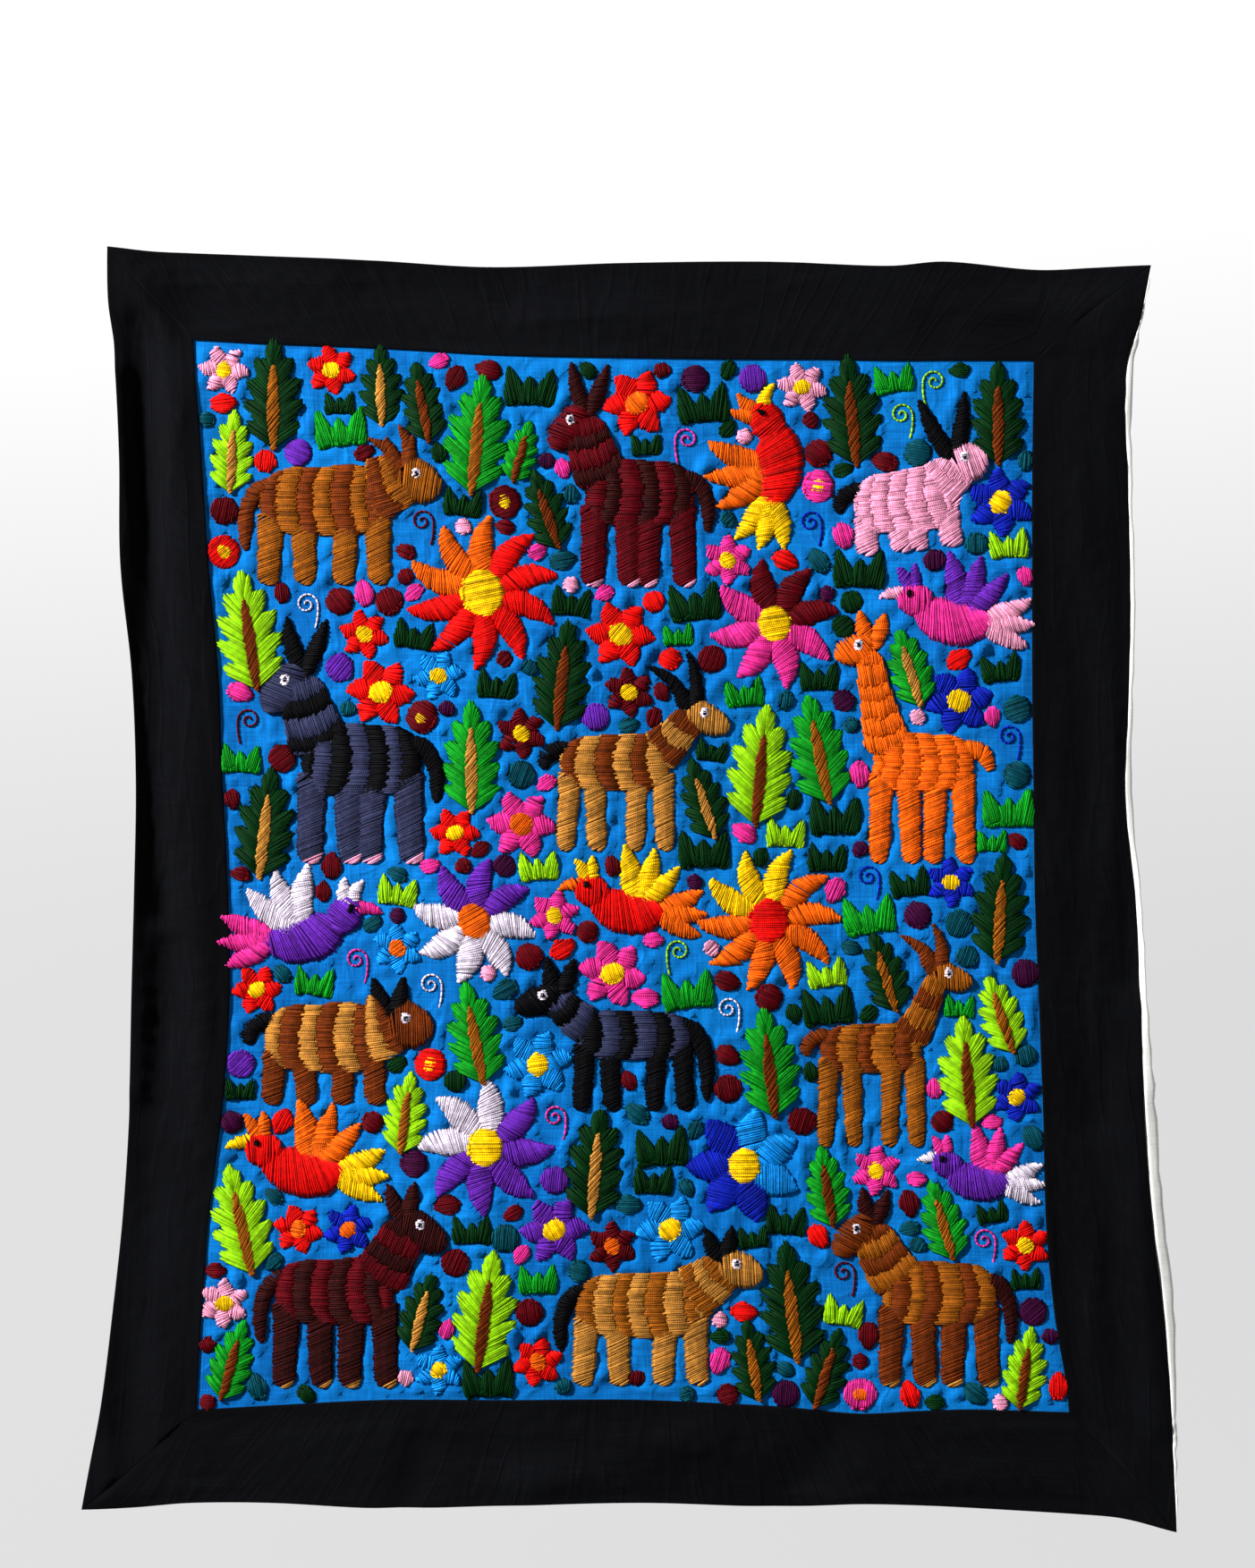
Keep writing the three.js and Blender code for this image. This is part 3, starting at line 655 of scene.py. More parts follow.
# Corners of the tube's section: sideways, and towards the viewer
SECTION = np.array([[1.0, 0.0], [0.0, 1.15], [-1.0, 0.0]])
# How far a thread's middle stands off the cloth at its ends
LIFT = 0.2


def tube_faces():
    """Triangles of one tube: two for each side between two rings, and one at each end."""
    corners, rings = len(SECTION), len(SHARES)
    k = np.arange(corners)
    ring = np.arange(rings - 1)[:, None] * corners
    here, after = ring + k, ring + (k + 1) % corners
    sides = [[here, after, after + corners], [here, after + corners, here + corners]]
    sides = [np.stack(side, -1).reshape(-1, 3) for side in sides]
    last = (rings - 1) * corners
    return np.concatenate([*sides, [k[::-1], last + k]])


def tubes(rows):
    """Points, faces, map and colours of the tubes. A ring of a tube lies at a share of the
    way from a to b. It stands off the cloth by the bases' blend plus crown times arch."""
    col = dict(zip(STITCH, rows.T))
    start = rows[:, 0:2]
    run = rows[:, 2:4] - start
    length = np.linalg.norm(run, axis=1)
    way = run / length[:, None]
    side = np.stack([-way[:, 1], way[:, 0]], -1)
    middle = start[:, None, :] + run[:, None, :] * SHARES[None, :, None]
    off = LIFT + col["base_a"][:, None] * (1 - SHARES) + col["base_b"][:, None] * SHARES
    off = off + col["crown"][:, None] * ARCH
    half = col["half"][:, None] * TAPER
    ground = forward(middle[..., 0], middle[..., 1])
    wide = half[..., None] * SECTION[:, 0]
    tall = half[..., None] * SECTION[:, 1]
    x = middle[..., 0, None] + side[:, None, None, 0] * wide
    z = middle[..., 1, None] + side[:, None, None, 1] * wide
    y = -(ground[..., None] + off[..., None] + tall)
    points = np.stack([x, y, z], -1).reshape(-1, 3)
    each = len(SHARES) * len(SECTION)
    faces = (tube_faces()[None] + np.arange(len(rows))[:, None, None] * each).reshape(-1, 3)
    gone = np.broadcast_to((length[:, None] * SHARES)[..., None], x.shape)
    # The corners of the section lie a quarter turn apart
    around = np.broadcast_to(np.arange(len(SECTION)) / 4.0, x.shape)
    thread = np.stack([gone, around], -1).reshape(-1, 2)
    # The yarn's colour times painted shade, darkest at both ends where the thread sinks into the cloth
    tint_and_painted_shade = rows[:, None, None, 8:11] * PAINTED_END_SHADE[None, :, None, None]
    tint_and_painted_shade = np.broadcast_to(tint_and_painted_shade, (*x.shape, 3)).reshape(-1, 3)
    yarn = np.concatenate([tint_and_painted_shade, np.ones((len(tint_and_painted_shade), 1))], 1)
    return points, faces, thread, yarn


def stitches(name, rows):
    """One piece made of all its stitches, in the floss material."""
    points, faces, thread, yarn = tubes(rows)
    made = mesh_object(name, points, faces, FLOSS, {"thread": thread}, yarn)
    return made


print("a stitch has", len(tube_faces()), "triangles")

# %% [markdown]
# ## Limbs
# Every figure is drawn with limbs: soft ribbons through three spots, each with a half
# width. Curves with many points could be drawn more freely, but three spots bend as a leg or
# a petal does and keep the tables short. Between them the middle line and the width follow a
# curve of the second degree. The ends close in a point or a round. The same limbs bound the
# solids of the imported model.

# %% Limbs


def limb(first, middle, last, blunt=6):
    """Three spots, each x, z and half width, and how blunt the ends are."""
    return np.array([first, middle, last], float), blunt


def way_at(degrees):
    """The direction at an angle above level: its cosine and its sine."""
    turn = math.radians(degrees)
    return np.array([math.cos(turn), math.sin(turn)])


def petal(x, z, angle, length, half, hook, blunt=3):
    """A limb that leaves a spot at an angle and swerves by its hook in the middle."""
    c, s = way_at(angle)
    middle = (x + 0.5 * length * c - hook * s, z + 0.5 * length * s + hook * c, half)
    return limb((x, z, half * 0.8), middle, (x + length * c, z + length * s, half * 0.3), blunt)


def disc(x, z, radius):
    """A limb as long as it is wide, with round ends."""
    return limb((x - radius, z, radius), (x, z, radius), (x + radius, z, radius), 2)


def along(part, t):
    """Place, direction, width and closing of a limb at shares t. The weights of the three
    spots are (1-t)(1-2t), 4t(1-t) and t(2t-1). The closing is the root of 1 minus the
    distance from the middle to the power blunt."""
    spots, blunt = part
    weights = np.stack([(1 - t) * (1 - 2 * t), 4 * t * (1 - t), t * (2 * t - 1)], -1)
    slopes = np.stack([4 * t - 3, 4 - 8 * t, 4 * t - 1], -1)
    place = weights @ spots
    way = (slopes @ spots)[..., :2]
    way = way / np.linalg.norm(way, axis=-1, keepdims=True)
    close = np.sqrt(np.maximum(1 - np.abs(2 * t - 1) ** blunt, 0))
    return place[..., :2], way, place[..., 2], close


def measured(part):
    """Shares from 0 to 1 and the length of the limb's middle line up to each, as the sum of
    short straight steps."""
    t = np.linspace(0, 1, 160)
    place = along(part, t)[0]
    steps = np.linalg.norm(np.diff(place, axis=0), axis=1)
    return t, np.concatenate([[0], np.cumsum(steps)])


def set_down(x, z, place):
    """Mirrors, turns, grows and moves what is drawn about a figure's middle."""
    turn = math.radians(place["turn"])
    x = x * place["faces"]
    level = x * math.cos(turn) - z * math.sin(turn)
    upright = x * math.sin(turn) + z * math.cos(turn)
    return np.stack([place["x"] + place["grow"] * level, place["z"] + place["grow"] * upright], -1)


def moved(part, place):
    """The limb set down at its place on the panel."""
    spots, blunt = part
    at = set_down(spots[:, 0], spots[:, 1], place)
    return np.column_stack([at, place["grow"] * spots[:, 2]]), blunt


def discs(part):
    """Circles that fill the limb, one every 3 mm or so: x, z and radius."""
    t, gone = measured(part)
    at = np.linspace(0, gone[-1], max(int(gone[-1] / 3), 4))
    place, _, half, close = along(part, np.interp(at, gone, t))
    to_end = np.minimum(at, gone[-1] - at)
    return np.column_stack([place, np.minimum(half * close, to_end + 1)])


print("a petal 40 mm out bends to", round(measured(petal(0, 0, 90, 40, 8, 3))[1][-1], 1), "mm")

# %% [markdown]
# ## Rows of stitches
# Legs, heads and petals are sewn across: each stitch leans from one rail of the limb to the
# other. A trunk is too wide for that, so it is sewn along, in bands: each band is a rank of
# parallel stitches, and the next band in another colour starts where it ends. The joins bow
# and stay a little ragged, as a hand leaves them.

# %% Shades of the yarn
CHANCE = np.random.default_rng(41)


def shades(names, count):
    """One colour for each stitch: the named yarns, each stitch a little lighter or darker."""
    base = np.array([YARN[name][:3] for name in names])
    light = CHANCE.normal(1.0, 0.2, (count, 1))
    return base * np.clip(light, 0.5, 1.4)


# From one stitch to the next
PITCH = 1.3
# Half the width of a stitch in pitches, so that each one laps over its neighbours
LAP = 0.79
print("a stitch is", round(2 * PITCH * LAP, 2), "mm wide, and the next", PITCH, "mm on")

# %% Sewing across
# A stitch across that would be shorter is left out
SHORTEST = 1.6


def beside(place, way, by):
    """Places moved sideways, to the left of their way."""
    return place + np.stack([-way[:, 1], way[:, 0]], -1) * by[:, None]


def sewn_across(part, yarn, layer, lean=0.45, dome=2.0, pitch=PITCH, tip=None):
    """Stitch k crosses at length (k + 1/2) pitch. Its two ends lie on the rails, as far
    back and forth along them as lean times the half width."""
    t, gone = measured(part)
    count = max(int(gone[-1] / pitch), 3)
    at = (np.arange(count) + 0.5) / count * gone[-1] + CHANCE.uniform(-0.2, 0.2, count)
    _, _, half, close = along(part, np.interp(at, gone, t))
    ends = []
    for sign in (1, -1):
        slip = -sign * lean * half * close + CHANCE.uniform(-0.4, 0.4, count)
        there = np.interp(np.clip(at + slip, 0, gone[-1]), gone, t)
        place, way, wide, shut = along(part, there)
        edge = (wide * shut + CHANCE.uniform(-0.3, 1.4, count)) * sign
        ends.append(beside(place, way, edge))
    names = np.full(count, yarn, object)
    if tip is not None:
        names[at > gone[-1] * tip[0]] = tip[1]
    length = np.linalg.norm(ends[1] - ends[0], axis=1)
    crown = np.minimum(dome * close, 0.25 + 0.16 * length)
    base = np.full(count, layer, float)
    half_wide = pitch * LAP * CHANCE.uniform(0.88, 1.15, count)
    rows = np.column_stack([ends[0], ends[1], base, base, crown, half_wide, shades(names, count)])
    return rows[length > SHORTEST]


print("no stitch across is shorter than", SHORTEST, "mm")

# %% Sewing along
# How far the stitches of two bands reach past their join, each way
OVERLAP = 0.9
# A stitch is covered if it lies within this share of a circle's radius
WELL_INSIDE = 0.86


def sewn_along(part, yarns, layer, band=13.0, bow=6.0, dome=2.0, pitch=PITCH):
    """Stitches at offsets v from the middle line, from join to join. Join j lies at length
    j band + bow (v / half)^2, and a limb's own edge ends a stitch. The padding under it is
    dome times the root of closing^2 - (v / half)^2."""
    t, gone = measured(part)
    _, _, half, close = along(part, t)
    widest = (half * close).max()
    rank = np.arange(-widest + pitch * 0.5, widest, pitch)
    inside = (half * close)[None, :] > np.abs(rank)[:, None]
    rank = rank[inside.any(1)]
    inside = inside[inside.any(1)]
    first = gone[inside.argmax(1)]
    last = gone[len(t) - 1 - inside[:, ::-1].argmax(1)]
    joins = np.arange(-1, int(gone[-1] / band) + 3)
    at = joins[None] * band + bow * (rank[:, None] / widest) ** 2
    at = at + CHANCE.uniform(-1.6, 1.6, at.shape) + CHANCE.uniform(-2.0, 2.0, (1, len(joins)))
    ragged = CHANCE.uniform(-0.8, 1.0, (2, len(rank), 1))
    begin = np.maximum(at[:, :-1] - OVERLAP, first[:, None] - ragged[0])
    end = np.minimum(at[:, 1:] + OVERLAP, last[:, None] + ragged[1])
    i, j = np.nonzero(end - begin > 2 * OVERLAP)
    begin, end, v = begin[i, j], end[i, j], rank[i]
    count = len(v)
    sides = []
    for length in (begin, end):
        place, way, wide, shut = along(part, np.interp(length, gone, t))
        edge = v + CHANCE.uniform(-0.35, 0.35, count)
        pad = layer + dome * np.sqrt(np.maximum(shut**2 - (v / wide) ** 2, 0))
        sides.append((beside(place, way, edge), pad))
    (a, base_a), (b, base_b) = sides
    names = np.array(yarns, object)[j % len(yarns)]
    crown = np.minimum(0.3 + 0.045 * (end - begin), 1.2)
    half_wide = pitch * LAP * CHANCE.uniform(0.88, 1.15, count)
    return np.column_stack([a, b, base_a, base_b, crown, half_wide, shades(names, count)])


def uncovered(rows, over):
    """Leaves out the stitches whose two ends and middle all lie well inside the circles of
    limbs that are sewn over them."""
    if not over:
        return rows
    circles = np.concatenate([discs(part) for part in over])
    hidden = np.ones(len(rows), bool)
    for share in (0.05, 0.5, 0.95):
        at = rows[:, 0:2] * (1 - share) + rows[:, 2:4] * share
        away = np.hypot(at[:, None, 0] - circles[:, 0], at[:, None, 1] - circles[:, 1])
        hidden &= (away < circles[:, 2] * WELL_INSIDE).any(1)
    return rows[~hidden]


print("a row holds", len(STITCH), "numbers for a stitch")

# %% [markdown]
# ## The figures
# Ten kinds of animal, a bird, three flowers and a leaf are sewn in padded satin stitch. Each
# animal could be drawn by hand, but they are built alike, so one function draws them all
# from a row of sizes, in millimetres around the middle of the trunk. A part has a name, and
# the name says in the table further on how it is sewn and what it is sewn over.

# %% Animals
MEASURES = "long deep leg leg_half neck neck_half lean head head_half nod ear horn tail".split()
ANIMALS = {
    name: dict(zip(MEASURES, row))
    for name, row in {
        "horse": (86, 26, 44, 9.5, 32, 16, 62, 38, 12, -38, 14, 0, 52),
        "donkey": (82, 27, 44, 10, 34, 16, 72, 38, 12.5, -44, 26, 0, 44),
        "deer": (76, 20, 54, 7, 42, 9.5, 66, 30, 9, -20, 12, 26, 16),
        "llama": (72, 23, 50, 8, 62, 11, 78, 28, 10, -12, 15, 0, 18),
        "goat": (80, 22, 42, 7.5, 26, 12, 48, 32, 10, -28, 12, 32, 16),
        "bull": (94, 28, 34, 9.5, 12, 20, 24, 34, 14.5, -34, 11, 18, 52),
        "cow": (90, 25, 32, 8.5, 18, 16, 38, 32, 12, -22, 13, 0, 46),
        "fox": (78, 18, 34, 7, 20, 11, 42, 32, 9.5, -16, 16, 0, 56),
        "pig": (80, 26, 20, 8, 6, 20, 14, 32, 15, -24, 13, 0, 18),
        "rabbit": (70, 24, 12, 8.5, 8, 15, 44, 26, 13, -12, 34, 0, 16),
    }.items()
}


def legs(a):
    """Four legs from inside the trunk down to the ground, each set a little forward or back."""
    end, half = a["long"] / 2, a["leg_half"]
    ground = -(a["deep"] + a["leg"])
    steps = ((half - end, -3), (3.4 * half - end, 2), (end - 3.2 * half, -2), (end - 0.8 * half, 2))
    return [
        ("leg", limb((at, -0.3 * a["deep"], half * 1.2),
                     (at + step * 0.3, 0.45 * ground, half * 0.95),
                     (at + step, ground, half * 0.9), 12))
        for at, step in steps
    ]


def animal(a):
    """Named limbs of an animal in profile that faces right. Its lean is the angle of the
    neck and its nod that of the head, in degrees above level."""
    end, deep, head_half = a["long"] / 2, a["deep"], a["head_half"]
    lean, nod = way_at(a["lean"]), way_at(a["nod"])
    root = np.array([end - deep * 0.55, deep * 0.2])
    top = root + (deep * 0.7 + a["neck"]) * lean
    head = top - 0.4 * head_half * nod
    half_way = (root + top) / 2 + (1, -2)
    drop = deep * 0.45
    parts = legs(a)
    parts.append(("tail", limb((10 - end, drop, 5), (-end - 7, drop - a["tail"] * 0.3, 5.5),
                               (-end - 9, drop - a["tail"] * 0.95, 4))))
    crown = top - 0.2 * head_half
    reach = 1.4 * head_half
    parts += [("ear", petal(*crown, 112, a["ear"] + reach, 5.5, 1)),
              ("ear", petal(*crown, 76, a["ear"] + reach, 5.5, -1))]
    if a["horn"]:
        parts += [("horn", petal(*crown, angle, a["horn"] + reach, 4, -6)) for angle in (132, 94)]
    parts.append(("trunk", limb((-end, 0, deep * 0.9), (0, -1, deep * 0.88), (end, 1, deep), 4)))
    parts.append(("neck", limb((*root, deep * 0.85), (*half_way, a["neck_half"] * 1.1),
                               (*top, a["neck_half"] * 0.95), 6)))
    parts.append(("head", limb((*head, head_half * 0.9), (*(head + 0.5 * a["head"] * nod), head_half),
                               (*(head + a["head"] * nod), head_half * 0.6), 5)))
    eye = head + 0.36 * a["head"] * nod + 0.3 * head_half * np.array([-nod[1], nod[0]])
    parts += [("eye", disc(*eye, 3.6)), ("pupil", disc(*eye, 1.9))]
    return parts


print("kinds of animal", len(ANIMALS), "each of", len(animal(ANIMALS["horse"])), "limbs or so")

# %% The bird, flowers and leaves
FLOWERS = {
    "sun": {"petals": 10, "reach": 56, "half": 8.5, "hook": 5, "heart": 17},
    "star": {"petals": 8, "reach": 50, "half": 9.5, "hook": -4, "heart": 14},
    "daisy": {"petals": 7, "reach": 42, "half": 12, "hook": 0, "heart": 13},
}
LEAF = {"long": 88, "pairs": 5, "lobe": 30, "half": 6.5, "spread": 52}


def bird():
    """Named limbs of a bird in profile that faces right."""
    parts = [("wing", petal(-2, -2, angle, 54, 9, 3)) for angle in (84, 112, 140)]
    parts += [("feather", petal(-22, -4, angle, 44, 8, 2)) for angle in (158, 184, 210)]
    parts += [("crest", petal(34, 16, angle, 26, 5, 2)) for angle in (64, 96)]
    parts.append(("beak", limb((40, 18, 6), (50, 18, 4), (60, 14, 1), 6)))
    parts.append(("breast", limb((-32, -4, 9), (0, -6, 18), (30, 8, 12), 4)))
    parts.append(("face", limb((20, 6, 11), (32, 13, 13), (44, 18, 9), 4)))
    return parts + [("pupil", disc(36, 18, 2.4))]


def flower(petals, reach, half, hook, heart):
    """Petals all round, starting under the heart at 0.6 of its radius."""
    angles = np.arange(petals) * 360 / petals
    start = 0.6 * heart
    parts = [("petal", petal(*(start * way_at(a)), a, reach - start, half, hook)) for a in angles]
    return parts + [("heart", disc(0, 0, heart))]


def leaf():
    """Pairs of pointed lobes that shorten towards the tip, then the vein over them."""
    long, steps = LEAF["long"], LEAF["pairs"] - 1
    parts = []
    for i in range(LEAF["pairs"]):
        z = long * (0.72 * i / steps - 0.42)
        reach = LEAF["lobe"] * math.sin(math.pi * (0.36 + 0.44 * i / steps))
        for side in (-1, 1):
            angle = 90 - side * LEAF["spread"]
            parts.append(("lobe", petal(-side, z, angle, reach, LEAF["half"], side * 2)))
    return parts + [("vein", limb((0, -long / 2, 3), (0, -4, 5), (0, long / 2 - 4, 3), 4))]


def parts_of(figure):
    """Named limbs of any figure, those that are sewn first coming first."""
    if figure in ANIMALS:
        return animal(ANIMALS[figure])
    if figure in FLOWERS:
        return flower(**FLOWERS[figure])
    return bird() if figure == "bird" else leaf()


print("horse has", len(parts_of("horse")), "parts, leaf", len(parts_of("leaf")))

# %% Where the figures lie
# Faces is 1 to the right and -1 to the left. A leaf's second yarn is that of its vein.
FIGURES = [
    dict(zip("figure x z faces turn grow yarn second third".split(), row))
    for row in [
        ("bull", -222, -172, 1, 0, 1.0, "ochre", "brown", "brown"),
        ("donkey", 8, -166, -1, 0, 0.98, "maroon", "dark_brown", "dark_brown"),
        ("rabbit", 200, -172, 1, 6, 1.05, "pink", "pink", "black"),
        ("donkey", -194, -360, -1, 0, 1.08, "slate", "black", "black"),
        ("goat", -10, -362, 1, 0, 1.02, "tan", "brown", "black"),
        ("llama", 214, -362, -1, 0, 1.02, "orange", "orange", "orange"),
        ("pig", -222, -562, 1, 0, 1.08, "brown", "tan", "black"),
        ("fox", 4, -560, -1, 0, 1.08, "black", "slate", "black"),
        ("deer", 176, -570, 1, 0, 0.98, "ochre", "brown", "brown"),
        ("horse", -214, -746, 1, 0, 1.02, "dark_brown", "maroon", "dark_brown"),
        ("cow", 8, -756, 1, 0, 1.05, "tan", "ochre", "black"),
        ("horse", 226, -748, -1, 0, 0.98, "brown", "ochre", "dark_brown"),
        ("sun", -106, -240, 1, 12, 1, "red", "orange", "yellow"),
        ("sun", 102, -478, 1, 0, 0.95, "orange", "yellow", "red"),
        ("star", 106, -262, -1, 10, 0.95, "rose", "maroon", "yellow"),
        ("star", -104, -642, 1, 0, 1, "violet", "white", "yellow"),
        ("daisy", 84, -656, -1, 0, 1, "royal", "sky", "yellow"),
        ("star", -112, -478, -1, 30, 0.92, "white", "violet", "orange"),
        ("bird", 104, -146, 1, 75, 0.95, "red", "orange", "yellow"),
        ("bird", -236, -486, 1, 0, 0.95, "violet", "white", "rose"),
        ("bird", 236, -256, -1, 0, 0.9, "rose", "violet", "pink"),
        ("bird", 0, -467, -1, 0, 0.86, "red", "yellow", "orange"),
        ("bird", -236, -656, -1, 0, 0.95, "red", "orange", "yellow"),
        ("bird", 254, -664, -1, 0, 0.74, "violet", "rose", "white"),
        ("leaf", -276, -268, 1, 8, 1, "lime", "brown"),
        ("leaf", -110, -126, 1, -6, 1, "green", "ochre"),
        ("leaf", 270, -470, 1, -4, 0.9, "dark_green", "ochre"),
        ("leaf", 268, -110, 1, 0, 0.85, "dark_green", "brown"),
        ("leaf", 96, -366, 1, -6, 1, "lime", "brown"),
        ("leaf", -112, -560, 1, 10, 0.85, "green", "ochre"),
        ("leaf", 118, -756, 1, 6, 1, "dark_green", "ochre"),
        ("leaf", -104, -762, 1, -8, 1, "lime", "brown"),
    ]
]
print("figures", len(FIGURES))

# %% How each part is sewn
# Its layer, the way of sewing, and which yarn of its figure, or of all, it takes
SEWING = {
    "leg": (0.0, "across", "yarn"),
    "tail": (0.0, "across", "third"),
    "ear": (0.4, "across", "third"),
    "horn": (0.4, "across", "third"),
    "trunk": (0.4, "bands", "yarn"),
    "neck": (0.9, "bands", "yarn"),
    "head": (1.5, "across", "yarn"),
    "wing": (0.0, "across", "second"),
    "feather": (0.0, "across", "third"),
    "crest": (0.0, "across", "second"),
    "beak": (0.0, "across", "third"),
    "breast": (0.5, "across", "yarn"),
    "face": (0.9, "across", "yarn"),
    "petal": (0.0, "across", "yarn"),
    "heart": (1.0, "long", "third"),
    "eye": (3.4, "eye", "white"),
    "pupil": (4.0, "eye", "black"),
}
HOOVES = {"horse": "tan", "donkey": "pink"}
# Petals of a flower that take its second yarn
TURNED_PETALS = (2, 3, 4)
print("ways of sewing", sorted({way for _, way, _ in SEWING.values()}))

# %% Leaves
LEAF_PITCH = 1.4
# Where the leaf's stitches start and end, in shares of the way up its lobes
LEAF_FROM, LEAF_TO = -0.04, 1.08
# Length of the stitches above the highest lobes
LEAF_TIP = 16.5


def sewn_vein(place, yarn):
    """The vein over a leaf, in long slanting stitches."""
    long = LEAF["long"]
    vein = limb((0, -0.5 * long, 2.4), (0, -0.1 * long, 4.6), (0, 0.27 * long, 1.8), 4)
    return sewn_across(moved(vein, place), yarn, 1.1, lean=1.5, dome=1.4, pitch=2.1)


def sewn_leaf(place, yarn, vein):
    """Stitches slant up from both sides of the vein. At share u of the way up the lobes, a
    stitch has the lobe's length there times a tooth, 0.6 + 0.4 of a cosine with one top at
    each lobe. Its angle from the vein falls to nearly 0 at the tip. The vein is sewn over."""
    steps = LEAF["pairs"] - 1
    count = int(0.78 * LEAF["long"] * place["grow"] / LEAF_PITCH)
    u = np.linspace(LEAF_FROM, LEAF_TO, count)
    lobe = LEAF["lobe"] * np.sin(np.pi * (0.36 + 0.44 * u))
    phase = np.abs((u * steps + 0.5) % 1.0 - 0.5)
    tooth = 0.6 + 0.4 * np.cos(np.pi * phase)
    slant = LEAF["spread"] * (1.06 - 0.98 * (np.maximum(u, 0) / LEAF_TO) ** 3)
    sides = []
    for side in (-1, 1):
        angle = np.radians(slant + CHANCE.uniform(-1.8, 1.8, count))
        z = LEAF["long"] * (0.72 * u - 0.44) + CHANCE.uniform(-0.3, 0.3, count)
        reach = np.where(u > 1, LEAF_TIP, lobe * tooth) + CHANCE.uniform(-0.8, 0.8, count)
        start = set_down(0 * z, z, place)
        end = set_down(side * reach * np.sin(angle), z + reach * np.cos(angle), place)
        low = np.full(count, 0.1)
        crown = np.minimum(0.3 + 0.06 * reach * place["grow"], 1.8)
        half_wide = PITCH * LAP * CHANCE.uniform(1.1, 1.4, count)
        tints = shades([yarn] * count, count)
        sides.append(np.column_stack([start, end, low + 0.5, low, crown, half_wide, tints]))
    return np.concatenate([*sides, sewn_vein(place, vein)])


print("stitches up one side of a leaf", int(0.78 * LEAF["long"] / LEAF_PITCH))

# %% Sewing the figures


def rows_of(place):
    """All stitches of one figure, without those that later parts cover."""
    if place["figure"] == "leaf":
        return sewn_leaf(place, place["yarn"], place["second"])
    parts = [(name, moved(part, place)) for name, part in parts_of(place["figure"])]
    made = []
    for i, (name, part) in enumerate(parts):
        layer, way, yarn = SEWING[name]
        yarn = place.get(yarn, yarn)
        if name == "petal" and i in TURNED_PETALS:
            yarn = place["second"]
        if way == "bands":
            rows = sewn_along(part, (yarn, place["second"]), layer)
        elif way == "long":
            rows = sewn_along(part, (yarn,), layer, band=200.0)
        elif way == "eye":
            rows = sewn_along(part, (yarn,), layer, band=200.0, dome=0.5, pitch=1.2)
        else:
            hoof = HOOVES.get(place["figure"]) if name == "leg" else None
            rows = sewn_across(part, yarn, layer, tip=(0.93, hoof) if hoof else None)
        over = [p for n, p in parts[i + 1:] if SEWING[n][0] > layer and SEWING[n][1] != "eye"]
        made.append(uncovered(rows, over))
    return np.concatenate(made)


for number, place in enumerate(FIGURES, 1):
    name = f"{place['figure']}_{number}"
    piece = stitches(f"stitched_{name}", rows_of(place))
    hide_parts(name)

# %% [markdown]
# ## Filling the ground
# A piece like this leaves no ground empty: wherever a hand's breadth of blue is left, there
# goes a small flower, a tuft of grass, a curl or a dot. The free room is measured on a grid:
# how far each point is from the nearest limb or seam. The largest room is filled first.

# %% Free room
GRID_STEP = 3.0
GRID_X, GRID_Z = np.meshgrid(
    np.arange(-336, 340, GRID_STEP),
    np.arange(-846, -45, GRID_STEP),
)
# One point of the grid stands for this many square decimetres
POINT_AREA = GRID_STEP**2 * 1e-4


def to_seams(x, z):
    """The distance to the nearest of the panel's four seams. The cloth is taken as 750 mm
    wide and 905 mm high to find the shares across and down."""
    down = np.clip(-z / 905, 0, 1)
    across = np.clip((x + 375) / 750, 0, 1)
    sides = (
        x - curve(UPRIGHTS, "down", "left_seam", down),
        curve(UPRIGHTS, "down", "right_seam", down) - x,
        curve(LEVELS, "across", "top_seam", across) - z,
        z - curve(LEVELS, "across", "bottom_seam", across),
    )
    return np.minimum.reduce(sides)


def room_beside(room, circles):
    """The smaller of the room and the distance to the nearest circle's edge. The circles go
    in a few at a time, which keeps the arrays small."""
    for few in np.array_split(circles, max(len(circles) // 48, 1)):
        away = np.hypot(GRID_X[..., None] - few[:, 0], GRID_Z[..., None] - few[:, 1])
        room = np.minimum(room, (away - few[:, 2]).min(-1))
    return room


room = to_seams(GRID_X, GRID_Z)
for place in FIGURES:
    drawn = [moved(part, place) for name, part in parts_of(place["figure"])]
    room = room_beside(room, np.concatenate([discs(part) for part in drawn]))
print("free ground", round((room > 0).sum() * POINT_AREA, 1), "square decimetres")

# %% [markdown]
# ## Small things
# Dots, seeds, grass, curls, sprigs and small flowers fill the gaps in many sizes. They could
# be strewn at random, but then they would overlap or leave holes. So each kind, the large
# ones first, is tried all over the free room, and takes a place that it just fits.

# %% What fills the ground
SMALL = [
    dict(zip("kind size most swing yarns".split(), row))
    for row in [
        ("sprig", 0.92, 10, 14, "dark_green green dark_green lime"),
        ("bloom", 26.0, 10, 180, "rose sky red royal red violet"),
        ("tuft", 20.0, 13, 10, "dark_green green dark_green"),
        ("sprig", 0.68, 16, 20, "dark_green lime dark_green green"),
        ("bloom", 19.0, 22, 180, "red rose royal maroon red pink sky"),
        ("curl", 13.5, 16, 8, "rose lime royal white maroon"),
        ("tuft", 15.0, 28, 10, "dark_green lime dark_green green"),
        ("sprig", 0.52, 8, 24, "green lime dark_green"),
        ("rosette", 12.5, 6, 180, "red maroon rose"),
        ("dot", 10.5, 30, 180, "maroon teal plum maroon violet"),
        ("tuft", 11.5, 24, 10, "dark_green green dark_green"),
        ("seed", 10.5, 34, 180, "maroon red teal rose"),
        ("dot", 8.4, 60, 180, "teal maroon plum red dark_green"),
        ("seed", 8.0, 60, 180, "maroon teal rose dark_green"),
        ("dot", 6.0, 60, 180, "teal maroon pink plum"),
    ]
]
HEARTS = ("yellow", "yellow", "orange", "yellow")
